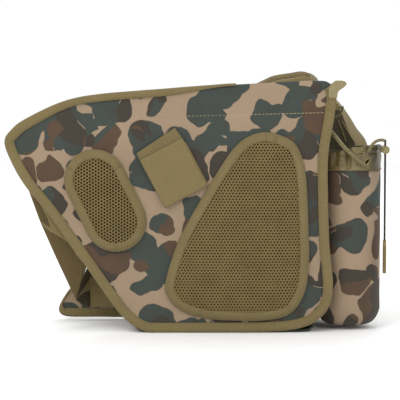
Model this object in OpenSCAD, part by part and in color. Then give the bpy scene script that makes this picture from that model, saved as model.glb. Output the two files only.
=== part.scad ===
/* [Back panel] */
// Thickness of the padded back panel
panel_t = 7; // [6:0.5:8]
// Width of the binding tape that shows round the panel
binding_w = 9.5; // [8:0.5:10]
// Wall of the binding tape
tape_t = 1; // [0.8:0.1:1.2]
// Height of the mesh pads above the panel
pad_t = 10; // [8:0.5:11]

/* [Bag] */
// Depth of the main compartment
body_d = 79; // [78:1:84]
// Thickness of the fabric walls
wall_t = 2.5; // [2:0.1:3]
// Depth of the organizer pocket under the flap
organizer_d = 12; // [11:1:13]
// Thickness of the flap
leaf_t = 3; // [2.6:0.1:3.4]

/* [Keeper] */
// Width of the wide webbing
wide_webbing = 51; // [48:1:54]
// Lean of the keeper from upright, in degrees
keeper_lean = 27.5; // [20:0.5:35]

/* [Bottle pocket] */
// Outer radius of the bottle pocket
pocket_r = 35; // [34:0.5:35.5]
// Thickness of the pocket fabric
pocket_t = 1.8; // [1.5:0.1:2.2]
// Height of the camouflage part of the pocket
pocket_top = 172; // [165:1:176]
// Height of the gathered collar above it
collar_h = 25; // [20:1:26]

/* [Straps] */
// Width of the side strap
side_webbing = 38; // [34:1:40]
// Width of the shoulder strap's webbing
narrow_webbing = 25; // [22:1:25]
// Thickness of the webbing
webbing_t = 1.8; // [1.5:0.1:1.8]

/* [Hidden] */
$fn = 48;

camo = "#8a7a66";
olive = "#85784e";
mesh_olive = "#7d6e45";
dark_olive = "#4c452c";
webbing_olive = "#8b8055";
plastic = "#5a5638";
steel = "#6d6a5c";

// Depths along Y. The pack's middle is at Y = 0, the wearer's side faces -Y.
strip_gap = 4;
zip_stack = 8.5;
back_y = pad_t + panel_t - (pad_t + panel_t + body_d + organizer_d + strip_gap + leaf_t + zip_stack) / 2;
panel_y = back_y - panel_t;
front_y = back_y + body_d;
organizer_y = front_y + organizer_d;
leaf_y = organizer_y + strip_gap;
leaf_out_y = leaf_y + leaf_t;

// Heights and sides of the bag
body_right = 131;
body_top = 238;
mouth_z = 198;
strip_near_z = 246.5;
strip_far_z = 243;
strip_t = 2.2;
hinge_z = 242;

// Outlines in the XZ plane, clockwise from the upper left
back_points = [[-201, 203], [-193, 217], [-178, 228], [-139, 246], [-98, 254], [-36, 259], [6, 262.5],
    [73, 266.5], [128, 269], [143, 266], [149, 255], [147.5, 232], [141, 190], [141, 142], [142.5, 98],
    [146.5, 52], [143, 29], [133, 16], [118, 7], [87, 1.8], [6, 0.6], [-38, 0.6], [-54, 2], [-72, 13],
    [-89, 33], [-123, 82], [-155, 127], [-178, 155], [-192, 178]];
lumbar_points = [[77, 213.5], [100, 206], [111, 193], [117.5, 165], [120.5, 109], [121, 75], [117, 45],
    [103, 22], [77, 14], [40, 13.5], [5, 17], [-17, 26], [-29, 40], [-30.5, 56], [-17, 98], [6, 141],
    [20, 165], [41, 196], [57, 209]];
oval_top = [-105.5, 163];
oval_low = [-84, 119.5];
oval_r = 32.5;
flap_points = [[3, hinge_z, 2], [148, hinge_z, 2], [150, 3, 14], [-160, 3, 14], [-139, 36, 9],
    [-100, 60, 14], [-50, 140, 20]];
body_points = [[0, body_top], [body_right, body_top], [body_right, 9], [122, 0], [-58, 0], [-72, 14]];

// Bottle pocket's axis
pocket_x = 166;
pocket_axis_y = back_y + 39;
pocket_floor = 4;

// Zipper on the flap
zip_z = 178;
zip_left = -4;
zip_right = 124;
slider_x = 110;
coil_t = 1.6;
bail_y = leaf_out_y + 6.4;
bail_r = 0.9;
eye_r = 2.1;
pin_gap = 0.1;

// Cord lock and its two strands
lock_at = [203.2, back_y + 11, 194.5];
lock_r = 4.2;
lock_bore = 2.9;
strand_d = 1.8;
cinch_d = 4;

// D-ring
ring_at = [146, back_y + 2.4, 240];
ring_bar = 12;
ring_wire = 1.2;

// Buckle at the lower end of the shoulder strap
buckle_at = [160, front_y, 24];

function unit(v) = v / norm(v);
function pick(p, i) = p[(i + len(p)) % len(p)];
function blend_point(a, b, c, d, t) = 0.5 * (2 * b + (c - a) * t + (2 * a - 5 * b + 4 * c - d) * t * t
    + (3 * b - a - 3 * c + d) * t * t * t);
// A smooth closed curve through the points, n steps between two of them
function smooth_loop(p, n) = [for (i = [0 : len(p) - 1], j = [0 : n - 1])
    blend_point(pick(p, i - 1), p[i], pick(p, i + 1), pick(p, i + 2), j / n)];
// A smooth open curve through the points
function smooth_path(p, n) = [for (i = [0 : len(p) - 2], j = [0 : (i == len(p) - 2 ? n : n - 1)])
    blend_point(p[max(i - 1, 0)], p[i], p[i + 1], p[min(i + 2, len(p) - 1)], j / n)];
// Each corner [x, z, cut] of a polygon turned into a curve that starts cut before it
function corner(a, b, c, cut, n) = let (s = b + unit(a - b) * cut, e = b + unit(c - b) * cut)
    [for (i = [0 : n]) let (k = i / n) (1 - k) * (1 - k) * s + 2 * k * (1 - k) * b + k * k * e];
function flat(p) = [p[0], p[1]];
// The corners of such a polygon moved inwards by d, with their cuts made smaller to match
function inset_corners(p, d) = [for (i = [0 : len(p) - 1])
    let (u = unit(flat(p[i]) - flat(pick(p, i - 1))), v = unit(flat(pick(p, i + 1)) - flat(p[i])),
        k = 1 + u * v, q = flat(p[i]) + d / k * [u[1] + v[1], -u[0] - v[0]])
    [q[0], q[1], max(0.5, p[i][2] - d * (u[1] * v[0] - u[0] * v[1]) / k)]];
function rounded(p, n = 6) = [for (i = [0 : len(p) - 1])
    each corner(flat(pick(p, i - 1)), flat(p[i]), flat(pick(p, i + 1)), p[i][2], n)];
// The outline moved inwards by d; it is clockwise
function inset(p, d) = [for (i = [0 : len(p) - 1])
    let (t = unit(pick(p, i + 1) - pick(p, i - 1))) p[i] + d * [t[1], -t[0]]];
function stadium(a, b, r, n) = let (dir = atan2(a[1] - b[1], a[0] - b[0]))
    concat([for (i = [0 : n]) a + r * [cos(dir + 90 - 180 * i / n), sin(dir + 90 - 180 * i / n)]],
        [for (i = [0 : n]) b + r * [cos(dir - 90 - 180 * i / n), sin(dir - 90 - 180 * i / n)]]);

back_outline = smooth_loop(back_points, 3);
lumbar_outline = smooth_loop(lumbar_points, 3);
oval_outline = stadium(oval_top, oval_low, oval_r, 14);

// A plate with that outline in XZ, from y0 to y1
module plate(points, y0, y1) {
    translate([0, y1, 0]) rotate([90, 0, 0]) linear_extrude(y1 - y0) polygon(points);
}
module block(low, high) {
    translate(low) cube(high - low);
}
// A solid swept through rings of points
module sweep(rings) {
    n = len(rings[0]);
    m = len(rings);
    sides = [for (i = [0 : m - 2], j = [0 : n - 1], k = [0, 1]) let (a = i * n + j, b = i * n + (j + 1) % n)
        k == 0 ? [a, b, b + n] : [a, b + n, a + n]];
    start = [for (j = [1 : n - 2]) [0, j + 1, j]];
    finish = [for (j = [1 : n - 2]) [(m - 1) * n, (m - 1) * n + j, (m - 1) * n + j + 1]];
    polyhedron([for (r = rings) each r], concat(start, sides, finish));
}
function heading(path, i) = unit(path[min(i + 1, len(path) - 1)] - path[max(i - 1, 0)]);
function tube_rings(path, r, sides, ref) = [for (i = [0 : len(path) - 1])
    let (t = heading(path, i), u = unit(cross(t, ref)), v = cross(t, u))
    [for (j = [0 : sides - 1]) path[i] + r * (cos(360 * j / sides) * v + sin(360 * j / sides) * u)]];
// A band through the points; hints give the direction of its width at each of them
function band_rings(path, hints, w, t) = [for (i = [0 : len(path) - 1])
    let (h = heading(path, i), a = unit(hints[i] - (hints[i] * h) * h), b = cross(h, a), k = w[i] / 2)
    [path[i] - k * a - t / 2 * b, path[i] - k * a + t / 2 * b,
     path[i] + k * a + t / 2 * b, path[i] + k * a - t / 2 * b]];

// ---- back panel ----
module back_layer(edge_y0, edge_y1, face_y0, face_y1) {
    plate(inset(back_outline, tape_t), edge_y0, edge_y1);
    if (face_y1 > face_y0) plate(inset(back_outline, binding_w + 0.2), face_y0, face_y1);
}
module back_fabric() {
    color(camo) back_layer(panel_y + tape_t, panel_y + tape_t + 1, panel_y, panel_y + tape_t + 0.5);
}
module back_foam() {
    color(dark_olive) back_layer(panel_y + tape_t + 1, back_y - tape_t - 1, 0, 0);
}
module back_lining() {
    color(camo) back_layer(back_y - tape_t - 1, back_y - tape_t, back_y - tape_t - 0.5, back_y);
}
module edge_band() {
    difference() {
        plate(back_outline, panel_y, back_y);
        plate(inset(back_outline, binding_w), panel_y - 1, back_y + 1);
        plate(inset(back_outline, tape_t), panel_y + tape_t, back_y - tape_t);
    }
}
// The stretch of the top edge where the camouflage fabric rolls over instead of the tape
roll_left = 36;
roll_right = 141;
tail_end = 158.5;
module roll_space() {
    block([roll_left, panel_y - 1, 240], [roll_right, back_y + 1, 280]);
}
module back_binding() {
    color(olive) {
        difference() {
            edge_band();
            roll_space();
        }
        block([146, panel_y + 1.5, 260], [tail_end, back_y, 267]);
    }
}
module top_roll() {
    color(camo) intersection() {
        edge_band();
        roll_space();
    }
}

// ---- mesh pads ----
flange_t = 4;
pad_tape = 8;
core_inset = 12;
core_t = pad_t - 2;
module pad_mesh(outline) {
    color(mesh_olive) difference() {
        union() {
            plate(inset(outline, tape_t), panel_y - flange_t, panel_y);
            plate(inset(outline, pad_tape + 0.2), panel_y - pad_t, panel_y);
        }
        plate(inset(outline, core_inset), panel_y - core_t, panel_y + 1);
    }
}
module pad_foam(outline) {
    color(dark_olive) plate(inset(outline, core_inset), panel_y - core_t, panel_y);
}
module pad_binding(outline) {
    color(olive) difference() {
        plate(outline, panel_y - flange_t - tape_t, panel_y);
        plate(inset(outline, pad_tape), panel_y - pad_t, panel_y + 1);
        plate(inset(outline, tape_t), panel_y - flange_t, panel_y + 1);
    }
}
module oval_mesh() { pad_mesh(oval_outline); }
module oval_foam() { pad_foam(oval_outline); }
module oval_binding() { pad_binding(oval_outline); }
module lumbar_mesh() { pad_mesh(lumbar_outline); }
module lumbar_foam() { pad_foam(lumbar_outline); }
module lumbar_binding() { pad_binding(lumbar_outline); }

// ---- webbing keeper: a patch, a sewn band and the flap that closes over the patch ----
keeper_at = [-21.5, panel_y, 169];
flap_low = -27;
flap_high = 26;
band_low = 28.6;
band_left_high = 38.6;
band_right_high = 44;
patch_t = 1.6;
keeper_gap = 0.4;
keeper_t = 2;
module on_keeper() {
    translate(keeper_at) rotate([0, -keeper_lean, 0]) children();
}
module keeper_patch() {
    color(webbing_olive) on_keeper() block([-22, -patch_t, -23], [25, 0, 24]);
}
module keeper_band() {
    half = wide_webbing / 2;
    color(webbing_olive) on_keeper() plate([[-half, band_low], [-half, band_left_high], [half - 2, band_right_high],
        [half, band_low]], -3, 0);
}
module keeper_flap() {
    color(webbing_olive) on_keeper() block([-wide_webbing / 2, -patch_t - keeper_gap - keeper_t, flap_low],
        [wide_webbing / 2, -patch_t - keeper_gap, flap_high]);
}

// ---- main compartment ----
module base_panel() {
    color(camo) block([-58, back_y, 0], [122, front_y - wall_t, 3]);
}
module left_gusset() {
    color(camo) plate([[-58, 0.2], [-72, 14], [0, body_top], [wall_t, body_top], [-72 + wall_t, 14.8], [-58, 3.4]],
        back_y, front_y - wall_t);
}
module right_gusset() {
    color(camo) plate([[122, 0.2], [122, 3.4], [body_right - wall_t, 10], [body_right - wall_t, body_top],
        [body_right, body_top], [body_right, 9]], back_y, front_y - wall_t);
}
module front_panel() {
    slope = 72 / (body_top - 14);
    color(camo) plate([[-72 + slope * (mouth_z - 14), mouth_z], [body_right, mouth_z], [body_right, 9], [122, 0.2],
        [-58, 0.2], [-72, 14]], front_y - wall_t, front_y);
}
module organizer_pocket() {
    color(camo) difference() {
        block([-38, front_y, 22], [112, organizer_y, 132]);
        block([-36, front_y - 1, 24], [110, organizer_y - 2, 133]);
    }
}
module organizer_binding() {
    color(olive) {
        block([-38, organizer_y, 125], [112, organizer_y + 1, 134]);
        block([-36, organizer_y - 3, 132], [110, organizer_y + 1, 134]);
        block([-36, organizer_y - 3, 125], [110, organizer_y - 2, 134]);
    }
}
module loop_strip() {
    color(dark_olive) block([0, organizer_y, 58], [76, organizer_y + 1.4, 84]);
}

// ---- flap: a fixed strip over the top and the leaf that hangs from it ----
// The strip over the bag is cut back on the right, so that the way down into the bottle pocket stays clear
strip_left = 3;
strip_right = 131;
strip_ear = 148;
strip_turn_y = 36;
strip_ear_y = 45;
strip_cut_x = 200;
strip_cut_z = 300;
strip_plan = [[strip_left, back_y], [strip_right, back_y], [strip_right, strip_turn_y],
    [strip_ear, strip_ear_y], [strip_ear, leaf_y - 1], [strip_left, leaf_y - 1]];
module flap_top() {
    color(camo) intersection() {
        rotate([90, 0, 90]) linear_extrude(strip_cut_x)
            polygon([[back_y, strip_near_z], [leaf_y - 1, strip_far_z], [leaf_y - 1, strip_far_z - strip_t],
                [back_y, strip_near_z - strip_t]]);
        linear_extrude(strip_cut_z) polygon(strip_plan);
    }
}
binding_end = hinge_z - 12;
function flap_outline(d) = rounded(inset_corners(flap_points, d));
module flap_leaf() {
    color(camo) plate(flap_outline(tape_t), leaf_y, leaf_out_y);
}
module flap_binding() {
    color(olive) difference() {
        plate(flap_outline(0), leaf_y - 0.8, leaf_out_y + 0.8);
        plate(flap_outline(binding_w), leaf_y - 2, leaf_out_y + 2);
        plate(flap_outline(tape_t), leaf_y, leaf_out_y);
        block([-60, leaf_y - 2, binding_end], [200, leaf_out_y + 2, hinge_z + 2]);
    }
}
module hook_strip() {
    color(dark_olive) block([0, leaf_y - 2, 58], [76, leaf_y, 84]);
}

// ---- zipper on the flap ----
module zipper_tape() {
    color(olive) block([zip_left - 6, leaf_out_y, zip_z - 13], [zip_right + 6, leaf_out_y + 0.8, zip_z + 13]);
}
module zipper_coil() {
    color(dark_olive) block([zip_left, leaf_out_y + 0.8, zip_z - 3], [zip_right, leaf_out_y + 0.8 + coil_t, zip_z + 3]);
}
module zipper_stops() {
    color(steel) for (x = [zip_left - 2.5, zip_right])
        block([x, leaf_out_y + 0.8, zip_z - 3.5], [x + 2.5, leaf_out_y + 3, zip_z + 3.5]);
}
module zipper_slider() {
    base = leaf_out_y + 1.1;
    color(steel) {
        difference() {
            block([slider_x - 7, base, zip_z - 5.5], [slider_x + 7, base + 3, zip_z + 5.5]);
            block([slider_x - 8, base - 1, zip_z - 3.4], [slider_x + 8, base + 1.6, zip_z + 3.4]);
        }
        for (x = [slider_x - 6.5, slider_x + 4.5])
            block([x, base + 2.8, zip_z - 1], [x + 2, bail_y + bail_r, zip_z + 1]);
        translate([slider_x - 5, bail_y, zip_z]) rotate([0, 90, 0]) cylinder(h = 10, r = bail_r);
    }
}
module zipper_pull() {
    color(steel) difference() {
        union() {
            translate([slider_x - 3, bail_y, zip_z]) rotate([0, 90, 0]) cylinder(h = 6, r = eye_r);
            block([slider_x - 3, bail_y - 0.8, zip_z - 26], [slider_x + 3, bail_y + 0.8, zip_z]);
        }
        translate([slider_x - 4, bail_y, zip_z]) rotate([0, 90, 0]) cylinder(h = 8, r = bail_r + pin_gap);
    }
}

// ---- bottle pocket ----
module bottle_pocket() {
    inner = pocket_r - pocket_t;
    color(camo) translate([pocket_x, pocket_axis_y, 0]) rotate_extrude()
        polygon([[0, pocket_floor], [pocket_r - 8, pocket_floor], [pocket_r, pocket_floor + 9], [pocket_r, pocket_top],
            [inner, pocket_top], [inner, pocket_floor + 10], [pocket_r - 9, pocket_floor + 2], [0, pocket_floor + 2]]);
}
module pocket_collar() {
    color(olive) translate([pocket_x, pocket_axis_y, pocket_top]) difference() {
        cylinder(h = collar_h, r = pocket_r);
        translate([0, 0, -1]) cylinder(h = collar_h + 2, r = pocket_r - pocket_t);
    }
}

// Cord from the bag to the collar, then the bight that leaves the collar beside the lock
cinch_route = [[131, -24, 224], [133, -24, 224], [137, -31, 221.5], [142, -38, 217], [148, -42, 210.5],
    [154, -43.8, 203], [160, -44.2, 196], [167, -44.2, 189.5], [173, -43.6, 184], [178, -42.4, 180],
    [180.6, -40.4, 178.2], [179.3, -37.2, 178]];
bight_route = [[183, -35.4, 193], [185, -38.7, 193.4], [186.4, -41, 196.4], [189.3, -41.7, 201],
    [194, -40.3, 204.2], [199.2, -37.2, 205], [203.2, -33.75, 203.8]];
module cinch_cord() {
    color(olive) sweep(tube_rings(smooth_path(cinch_route, 1), cinch_d / 2, 8, [0, 1, 0.3]));
}
module cinch_bight() {
    color(olive) sweep(tube_rings(smooth_path(bight_route, 1), 1.6, 8, [0, 0, 1]));
}
// Two strands that hang through the lock from the bight down to the pull tab
strand_top = 204.6;
strand_end = 97;
strand_half = 2;
function strand_route() = let (x = lock_at[0], y = lock_at[1], turn = strand_top - strand_half)
    concat([for (z = [strand_end, 120, 145, 170, 190]) [x, y - strand_half, z]],
        [for (a = [0 : 30 : 180]) [x, y - strand_half * cos(a), turn + strand_half * sin(a)]],
        [for (z = [190, 170, 145, 120, strand_end]) [x, y + strand_half, z]]);
module pull_cord() {
    color(dark_olive) sweep(tube_rings(strand_route(), strand_d / 2, 8, [1, 0, 0]));
}
module pull_tab() {
    color(webbing_olive) translate([lock_at[0], lock_at[1], 0]) block([-1.6, -5, 62], [1.6, 5, strand_end]);
}

// ---- cord lock: the barrel lies along Y and the plunger is pressed in from -Y ----
barrel_front = -6.5;
barrel_back = 12;
bore_end = 10.6;
plunger_travel = 4;
plunger_end = 5.2;
slot_x = 1.3;
slot_y = 3.3;
spring_r = 2.6;
spring_bore = 1.9;
// A round bar along Y from y0 to y1
module bar_y(y0, y1, r) {
    translate([0, y0, 0]) rotate([-90, 0, 0]) cylinder(h = y1 - y0, r = r);
}
module lock_barrel() {
    color(plastic) translate(lock_at) difference() {
        bar_y(barrel_front, barrel_back, lock_r);
        bar_y(barrel_front - 1, bore_end, lock_bore);
        block([-slot_x, -slot_y, -10], [slot_x, slot_y, 10]);
    }
}
module lock_plunger() {
    color(plastic) translate(lock_at) difference() {
        bar_y(barrel_front - plunger_travel, plunger_end, lock_bore - pin_gap);
        block([-slot_x, -slot_y - plunger_travel, -10], [slot_x, plunger_end - 0.9, 10]);
    }
}
module lock_spring() {
    color(steel) translate(lock_at) difference() {
        bar_y(plunger_end, bore_end, spring_r);
        bar_y(plunger_end - 1, bore_end + 1, spring_bore);
    }
}

// ---- shoulder strap ----
// The pad's course as [x, z, twist, width]: it lies flat on the top and turns to lie against the wing
pad_course = [[-172, 194, 90, 44], [-150, 206, 90, 48], [-125, 216, 88, 50], [-100, 224, 75, 50],
    [-75, 230, 58, 50], [-50, 237, 38, 50], [-25, 244.5, 18, 50], [0, 251.5, 4, 50], [30, 252.5, 0, 50],
    [60, 255.5, 0, 50], [84, 263.5, 0, 48], [104, 271, 0, 46], [119, 273.8, 0, 42], [129, 269.6, 0, 34]];
shoulder_t = 9;
pad_lift = 0.4;
pad_half = 25;
function pad_turn(a) = [-0.35 * sin(a), -cos(a), 0.94 * sin(a)];
function pad_y(c) = back_y + pad_lift + pad_half * cos(c[2]) + shoulder_t / 2 * sin(c[2]);
pad_fine = smooth_path(pad_course, 2);
module shoulder_pad() {
    color(mesh_olive) sweep(band_rings([for (c = pad_fine) [c[0], pad_y(c), c[1]]],
        [for (c = pad_fine) pad_turn(c[2])], [for (c = pad_fine) c[3]], shoulder_t));
}
webbing_route = [[113, -34, 266.2], [113, -18, 266.2], [113.5, -5, 264.5], [115.5, 8, 261.5], [121, 20, 259],
    [131, 29, 256.5], [142, 35, 251], [152.5, 40.5, 245.5], [161, 43, 235], [168, 43.8, 223],
    [174.5, 44, 211], [183, 44, 196.5], [182, 42.5, 178],
    [170, 40, 160], [160.5, 37.6, 143], [160, 37.4, 112], [160, 37.4, 80], [160, 37.4, 52]];
webbing_hints = [[-1, 0, 0], [-1, 0, 0], [-1, 0.05, 0.25], [-0.85, 0.2, 0.8], [-0.5, 0.5, 1],
    [-0.2, 0.8, 0.8], [0, 1, 0.5], [0, 1, 0.3], [0.2, 0.97, 0.2], [0.32, 0.93, 0.22],
    [0.38, 0.9, 0.22], [0.6, 0.78, 0.1], [0.85, 0.5, 0],
    [0.97, 0.2, 0], [1, 0, 0], [1, 0, 0], [1, 0, 0], [1, 0, 0]];
module shoulder_webbing() {
    color(webbing_olive) sweep(band_rings(webbing_route, webbing_hints,
        [for (p = webbing_route) narrow_webbing], webbing_t));
}
module strap_slider() {
    color(plastic) difference() {
        block([143.5, 33.4, 94], [176.5, 41.4, 106]);
        block([146.7, 36, 93], [173.3, 38.8, 107]);
    }
}
module buckle_female() {
    color(plastic) translate(buckle_at) difference() {
        block([-16, -3, 0], [16, 3, 26]);
        block([-11, -1.9, 4], [11, 1.9, 27]);
        for (x = [-17, 9]) block([x, -1.9, 12], [x + 8, 1.9, 20]);
    }
}
module buckle_male() {
    color(plastic) translate(buckle_at) {
        difference() {
            block([-16, -3, 26.4], [16, 6.4, 35]);
            block([-13.3, 2, 20], [13.3, 4.8, 40]);
        }
        for (x = [-10, -1.5, 5.5]) block([x, -1.5, 6], [x + (x == -1.5 ? 3 : 4.5), 1.5, 26.4]);
    }
}
module anchor_tab() {
    color(webbing_olive) block([body_right, front_y - 0.9, 12], [172, front_y + 0.9, 24]);
}

// ---- side strap: from the wing down to a fold, then back to the bag ----
side_route = [[-170, -43.9, 172], [-160, -38, 146], [-150, -25, 120], [-140, -12, 96], [-130, 0, 72], [-124, 9, 54],
    [-120, 16, 42], [-111, 21, 37], [-98, 22, 37], [-84, 21, 37], [-67.5, 20, 37]];
side_hints = [[0.93, 0, 0.36], [0.93, 0, 0.36], [0.93, 0.1, 0.36], [0.93, 0.2, 0.3], [0.85, 0.3, 0.4], [0.7, 0.5, 0.6],
    [0.4, 0.5, 0.9], [0.1, 0.3, 1], [0, 0.2, 1], [0, 0.1, 1], [0, 0, 1]];
module side_strap() {
    color(webbing_olive) sweep(band_rings(side_route, side_hints, [for (p = side_route) side_webbing], webbing_t));
}

// ---- D-ring on a tab behind the panel's edge ----
module d_ring() {
    color(steel) translate(ring_at) {
        rotate([0, 90, 0]) cylinder(h = 2 * ring_bar, r = ring_wire, center = true);
        rotate([90, 0, 0]) rotate([0, 0, 180]) rotate_extrude(angle = 180)
            translate([ring_bar - ring_wire, 0]) circle(r = ring_wire, $fn = 24);
    }
}
module d_ring_tab() {
    color(webbing_olive) difference() {
        block([ring_at[0] - 6, back_y, ring_at[2] - 2.4], [ring_at[0] + 6, back_y + 4.8, ring_at[2] + 3.8]);
        translate(ring_at) rotate([0, 90, 0]) cylinder(h = 30, r = ring_wire + pin_gap, center = true);
    }
}

back_fabric();
back_foam();
back_lining();
back_binding();
top_roll();
oval_mesh();
oval_foam();
oval_binding();
lumbar_mesh();
lumbar_foam();
lumbar_binding();
keeper_patch();
keeper_band();
keeper_flap();
base_panel();
left_gusset();
right_gusset();
front_panel();
flap_top();
flap_leaf();
flap_binding();
hook_strip();
loop_strip();
organizer_pocket();
organizer_binding();
zipper_tape();
zipper_coil();
zipper_stops();
zipper_slider();
zipper_pull();
bottle_pocket();
pocket_collar();
cinch_cord();
cinch_bight();
pull_cord();
pull_tab();
lock_barrel();
lock_spring();
lock_plunger();
shoulder_pad();
shoulder_webbing();
buckle_female();
buckle_male();
strap_slider();
anchor_tab();
side_strap();
d_ring();
d_ring_tab();
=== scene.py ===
"""Looks of a camouflage sling pack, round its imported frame. Sizes are millimetres until a mesh is made."""

import math

import bmesh
import bpy
import numpy as np
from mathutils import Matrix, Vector, geometry, noise


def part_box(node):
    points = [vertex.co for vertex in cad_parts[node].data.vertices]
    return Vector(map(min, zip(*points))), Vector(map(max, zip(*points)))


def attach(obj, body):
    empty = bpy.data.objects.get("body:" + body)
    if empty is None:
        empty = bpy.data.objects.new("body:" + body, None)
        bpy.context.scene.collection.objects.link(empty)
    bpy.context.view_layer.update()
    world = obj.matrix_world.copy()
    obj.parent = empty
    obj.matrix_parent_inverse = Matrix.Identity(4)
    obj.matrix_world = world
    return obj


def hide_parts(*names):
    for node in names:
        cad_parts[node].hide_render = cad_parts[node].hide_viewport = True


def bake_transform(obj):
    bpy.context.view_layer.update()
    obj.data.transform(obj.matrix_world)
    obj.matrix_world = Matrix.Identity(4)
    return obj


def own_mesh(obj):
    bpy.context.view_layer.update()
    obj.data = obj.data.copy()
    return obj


MM = 0.001
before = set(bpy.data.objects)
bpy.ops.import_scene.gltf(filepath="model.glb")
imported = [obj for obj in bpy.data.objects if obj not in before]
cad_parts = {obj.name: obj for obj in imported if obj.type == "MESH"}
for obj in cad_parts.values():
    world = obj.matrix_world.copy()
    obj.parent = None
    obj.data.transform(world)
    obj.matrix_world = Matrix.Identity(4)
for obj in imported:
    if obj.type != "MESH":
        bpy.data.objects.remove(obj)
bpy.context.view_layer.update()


def low(node):
    return np.array(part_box(node)[0]) / MM


def high(node):
    return np.array(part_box(node)[1]) / MM


PANEL_Y = low("back_fabric")[1]
BACK_Y = high("back_lining")[1]
FRONT_Y = high("front_panel")[1]
ORGANIZER_Y = high("organizer_pocket")[1]
LEAF_Y, LEAF_OUT_Y = low("flap_leaf")[1], high("flap_leaf")[1]

# ---- camera ----
ELEVATION = math.radians(4.5)
DISTANCE = 2000
VIEW_WIDTH = 424
SENSOR = 36
camera = bpy.data.objects.new("camera", bpy.data.cameras.new("camera"))
bpy.context.scene.collection.objects.link(camera)
bpy.context.scene.camera = camera
camera.data.sensor_width = SENSOR
camera.data.lens = SENSOR * DISTANCE / VIEW_WIDTH
camera.data.clip_end = 20
AIM = Vector((5.5, -52, 142))
camera.location = (AIM + Vector((0, -math.cos(ELEVATION), math.sin(ELEVATION))) * DISTANCE) * MM
camera.rotation_euler = (math.pi / 2 - ELEVATION, 0, 0)


# ---- curves ----
def unit(v):
    return v / np.linalg.norm(v)


def blend_point(a, b, c, d, t):
    return 0.5 * (2 * b + (c - a) * t + (2 * a - 5 * b + 4 * c - d) * t * t + (3 * b - a - 3 * c + d) * t**3)


def smooth_loop(points, n):
    p = np.array(points, float)
    m = len(p)
    return np.array([blend_point(p[i - 1], p[i], p[(i + 1) % m], p[(i + 2) % m], j / n) for i in range(m)
        for j in range(n)])


def smooth_path(points, n):
    p = np.array(points, float)
    m = len(p)
    made = [blend_point(p[max(i - 1, 0)], p[i], p[i + 1], p[min(i + 2, m - 1)], j / n) for i in range(m - 1)
        for j in range(n)]
    return np.array(made + [p[-1]])


def lengths(path):
    return np.r_[0, np.cumsum(np.linalg.norm(np.diff(path, axis=0), axis=1))]


def even(path, step, closed=False):
    """The path again with points about step apart."""
    p = np.vstack([path, path[:1]]) if closed else np.array(path, float)
    d = lengths(p)
    t = np.linspace(0, d[-1], max(2, round(d[-1] / step)) + 1)
    return np.column_stack([np.interp(t, d, p[:, k]) for k in range(p.shape[1])])[: -1 if closed else None]


def corner(a, b, c, cut, n):
    s, e = b + unit(a - b) * cut, b + unit(c - b) * cut
    return [(1 - k) ** 2 * s + 2 * k * (1 - k) * b + k * k * e for k in np.linspace(0, 1, n + 1)]


def rounded(points, n=6):
    p = np.array(points, float)
    m = len(p)
    return np.array([q for i in range(m) for q in corner(p[i - 1, :2], p[i, :2], p[(i + 1) % m, :2],
        max(p[i, 2], 0.5), n)])


def turned(points, cut):
    """An open path with its inner corners rounded."""
    p = np.array(points, float)
    bends = [q for a, b, c in zip(p[:-2], p[1:-1], p[2:]) for q in corner(a, b, c, cut, 5)]
    return np.array([p[0], *bends, p[-1]])


def tangents(path, closed):
    if closed:
        return np.array([unit(v) for v in np.roll(path, -1, 0) - np.roll(path, 1, 0)])
    return np.array([unit(v) for v in np.gradient(path, axis=0)])


def inward(path, closed=True):
    """Inward normals of a clockwise outline."""
    t = tangents(path, closed)
    return np.column_stack([t[:, 1], -t[:, 0]])


def stadium(a, b, r, n):
    a, b = np.array(a, float), np.array(b, float)
    turn = math.atan2(a[1] - b[1], a[0] - b[0])
    half = [turn + math.pi / 2 - math.pi * i / n for i in range(n + 1)]
    return np.array([a + r * np.array([math.cos(t), math.sin(t)]) for t in half]
        + [b - r * np.array([math.cos(t), math.sin(t)]) for t in half])


def distance_to(points, loop):
    """Distance of each point to a closed outline."""
    p, a = np.array(points, float), np.array(loop, float)
    d = np.roll(a, -1, 0) - a
    found = []
    for part in np.array_split(p, len(p) // 3000 + 1):
        away = part[:, None] - a[None]
        t = np.clip((away * d).sum(2) / np.maximum((d * d).sum(1), 1e-9), 0, 1)
        found.append(np.linalg.norm(away - t[:, :, None] * d, axis=2).min(1))
    return np.concatenate(found)


def inside(points, path):
    p = np.array(points, float)
    found = np.zeros(len(p), bool)
    for a, b in zip(path, np.roll(path, -1, 0)):
        if a[1] != b[1]:
            crosses = (a[1] > p[:, 1]) != (b[1] > p[:, 1])
            found ^= crosses & (p[:, 0] < a[0] + (p[:, 1] - a[1]) * (b[0] - a[0]) / (b[1] - a[1]))
    return found


def lattice(low_corner, high_corner, pitch):
    """Centres of a hexagonal lattice that fills a rectangle."""
    row = pitch * math.sqrt(3) / 2
    return np.array([(x + (j % 2) * pitch / 2, low_corner[1] + j * row)
        for j in range(int((high_corner[1] - low_corner[1]) / row) + 1)
        for x in np.arange(low_corner[0], high_corner[0], pitch)])


def fill(outline, step):
    """Points and triangles that fill an outline. The outline's own points come first."""
    grid = lattice(outline.min(0), outline.max(0), step)
    grid = grid[inside(grid, outline)]
    grid = grid[distance_to(grid, outline) > step * 0.55]
    points = np.vstack([outline, grid])
    n = len(outline)
    made = geometry.delaunay_2d_cdt([Vector(p) for p in points], [(i, (i + 1) % n) for i in range(n)], [], 1,
        1e-5)
    return np.array([tuple(p) for p in made[0]]), [tuple(f) for f in made[2]]


def ripple(x, y, z, size, seed=0):
    """Smooth noise from -1 to 1 with lumps of about that size."""
    return noise.noise(Vector((x / size + seed * 7.3, y / size + seed * 3.1, z / size - seed * 5.7)))


def ease(x, a, b):
    t = np.clip((x - a) / (b - a), 0, 1)
    return t * t * (3 - 2 * t)


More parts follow.
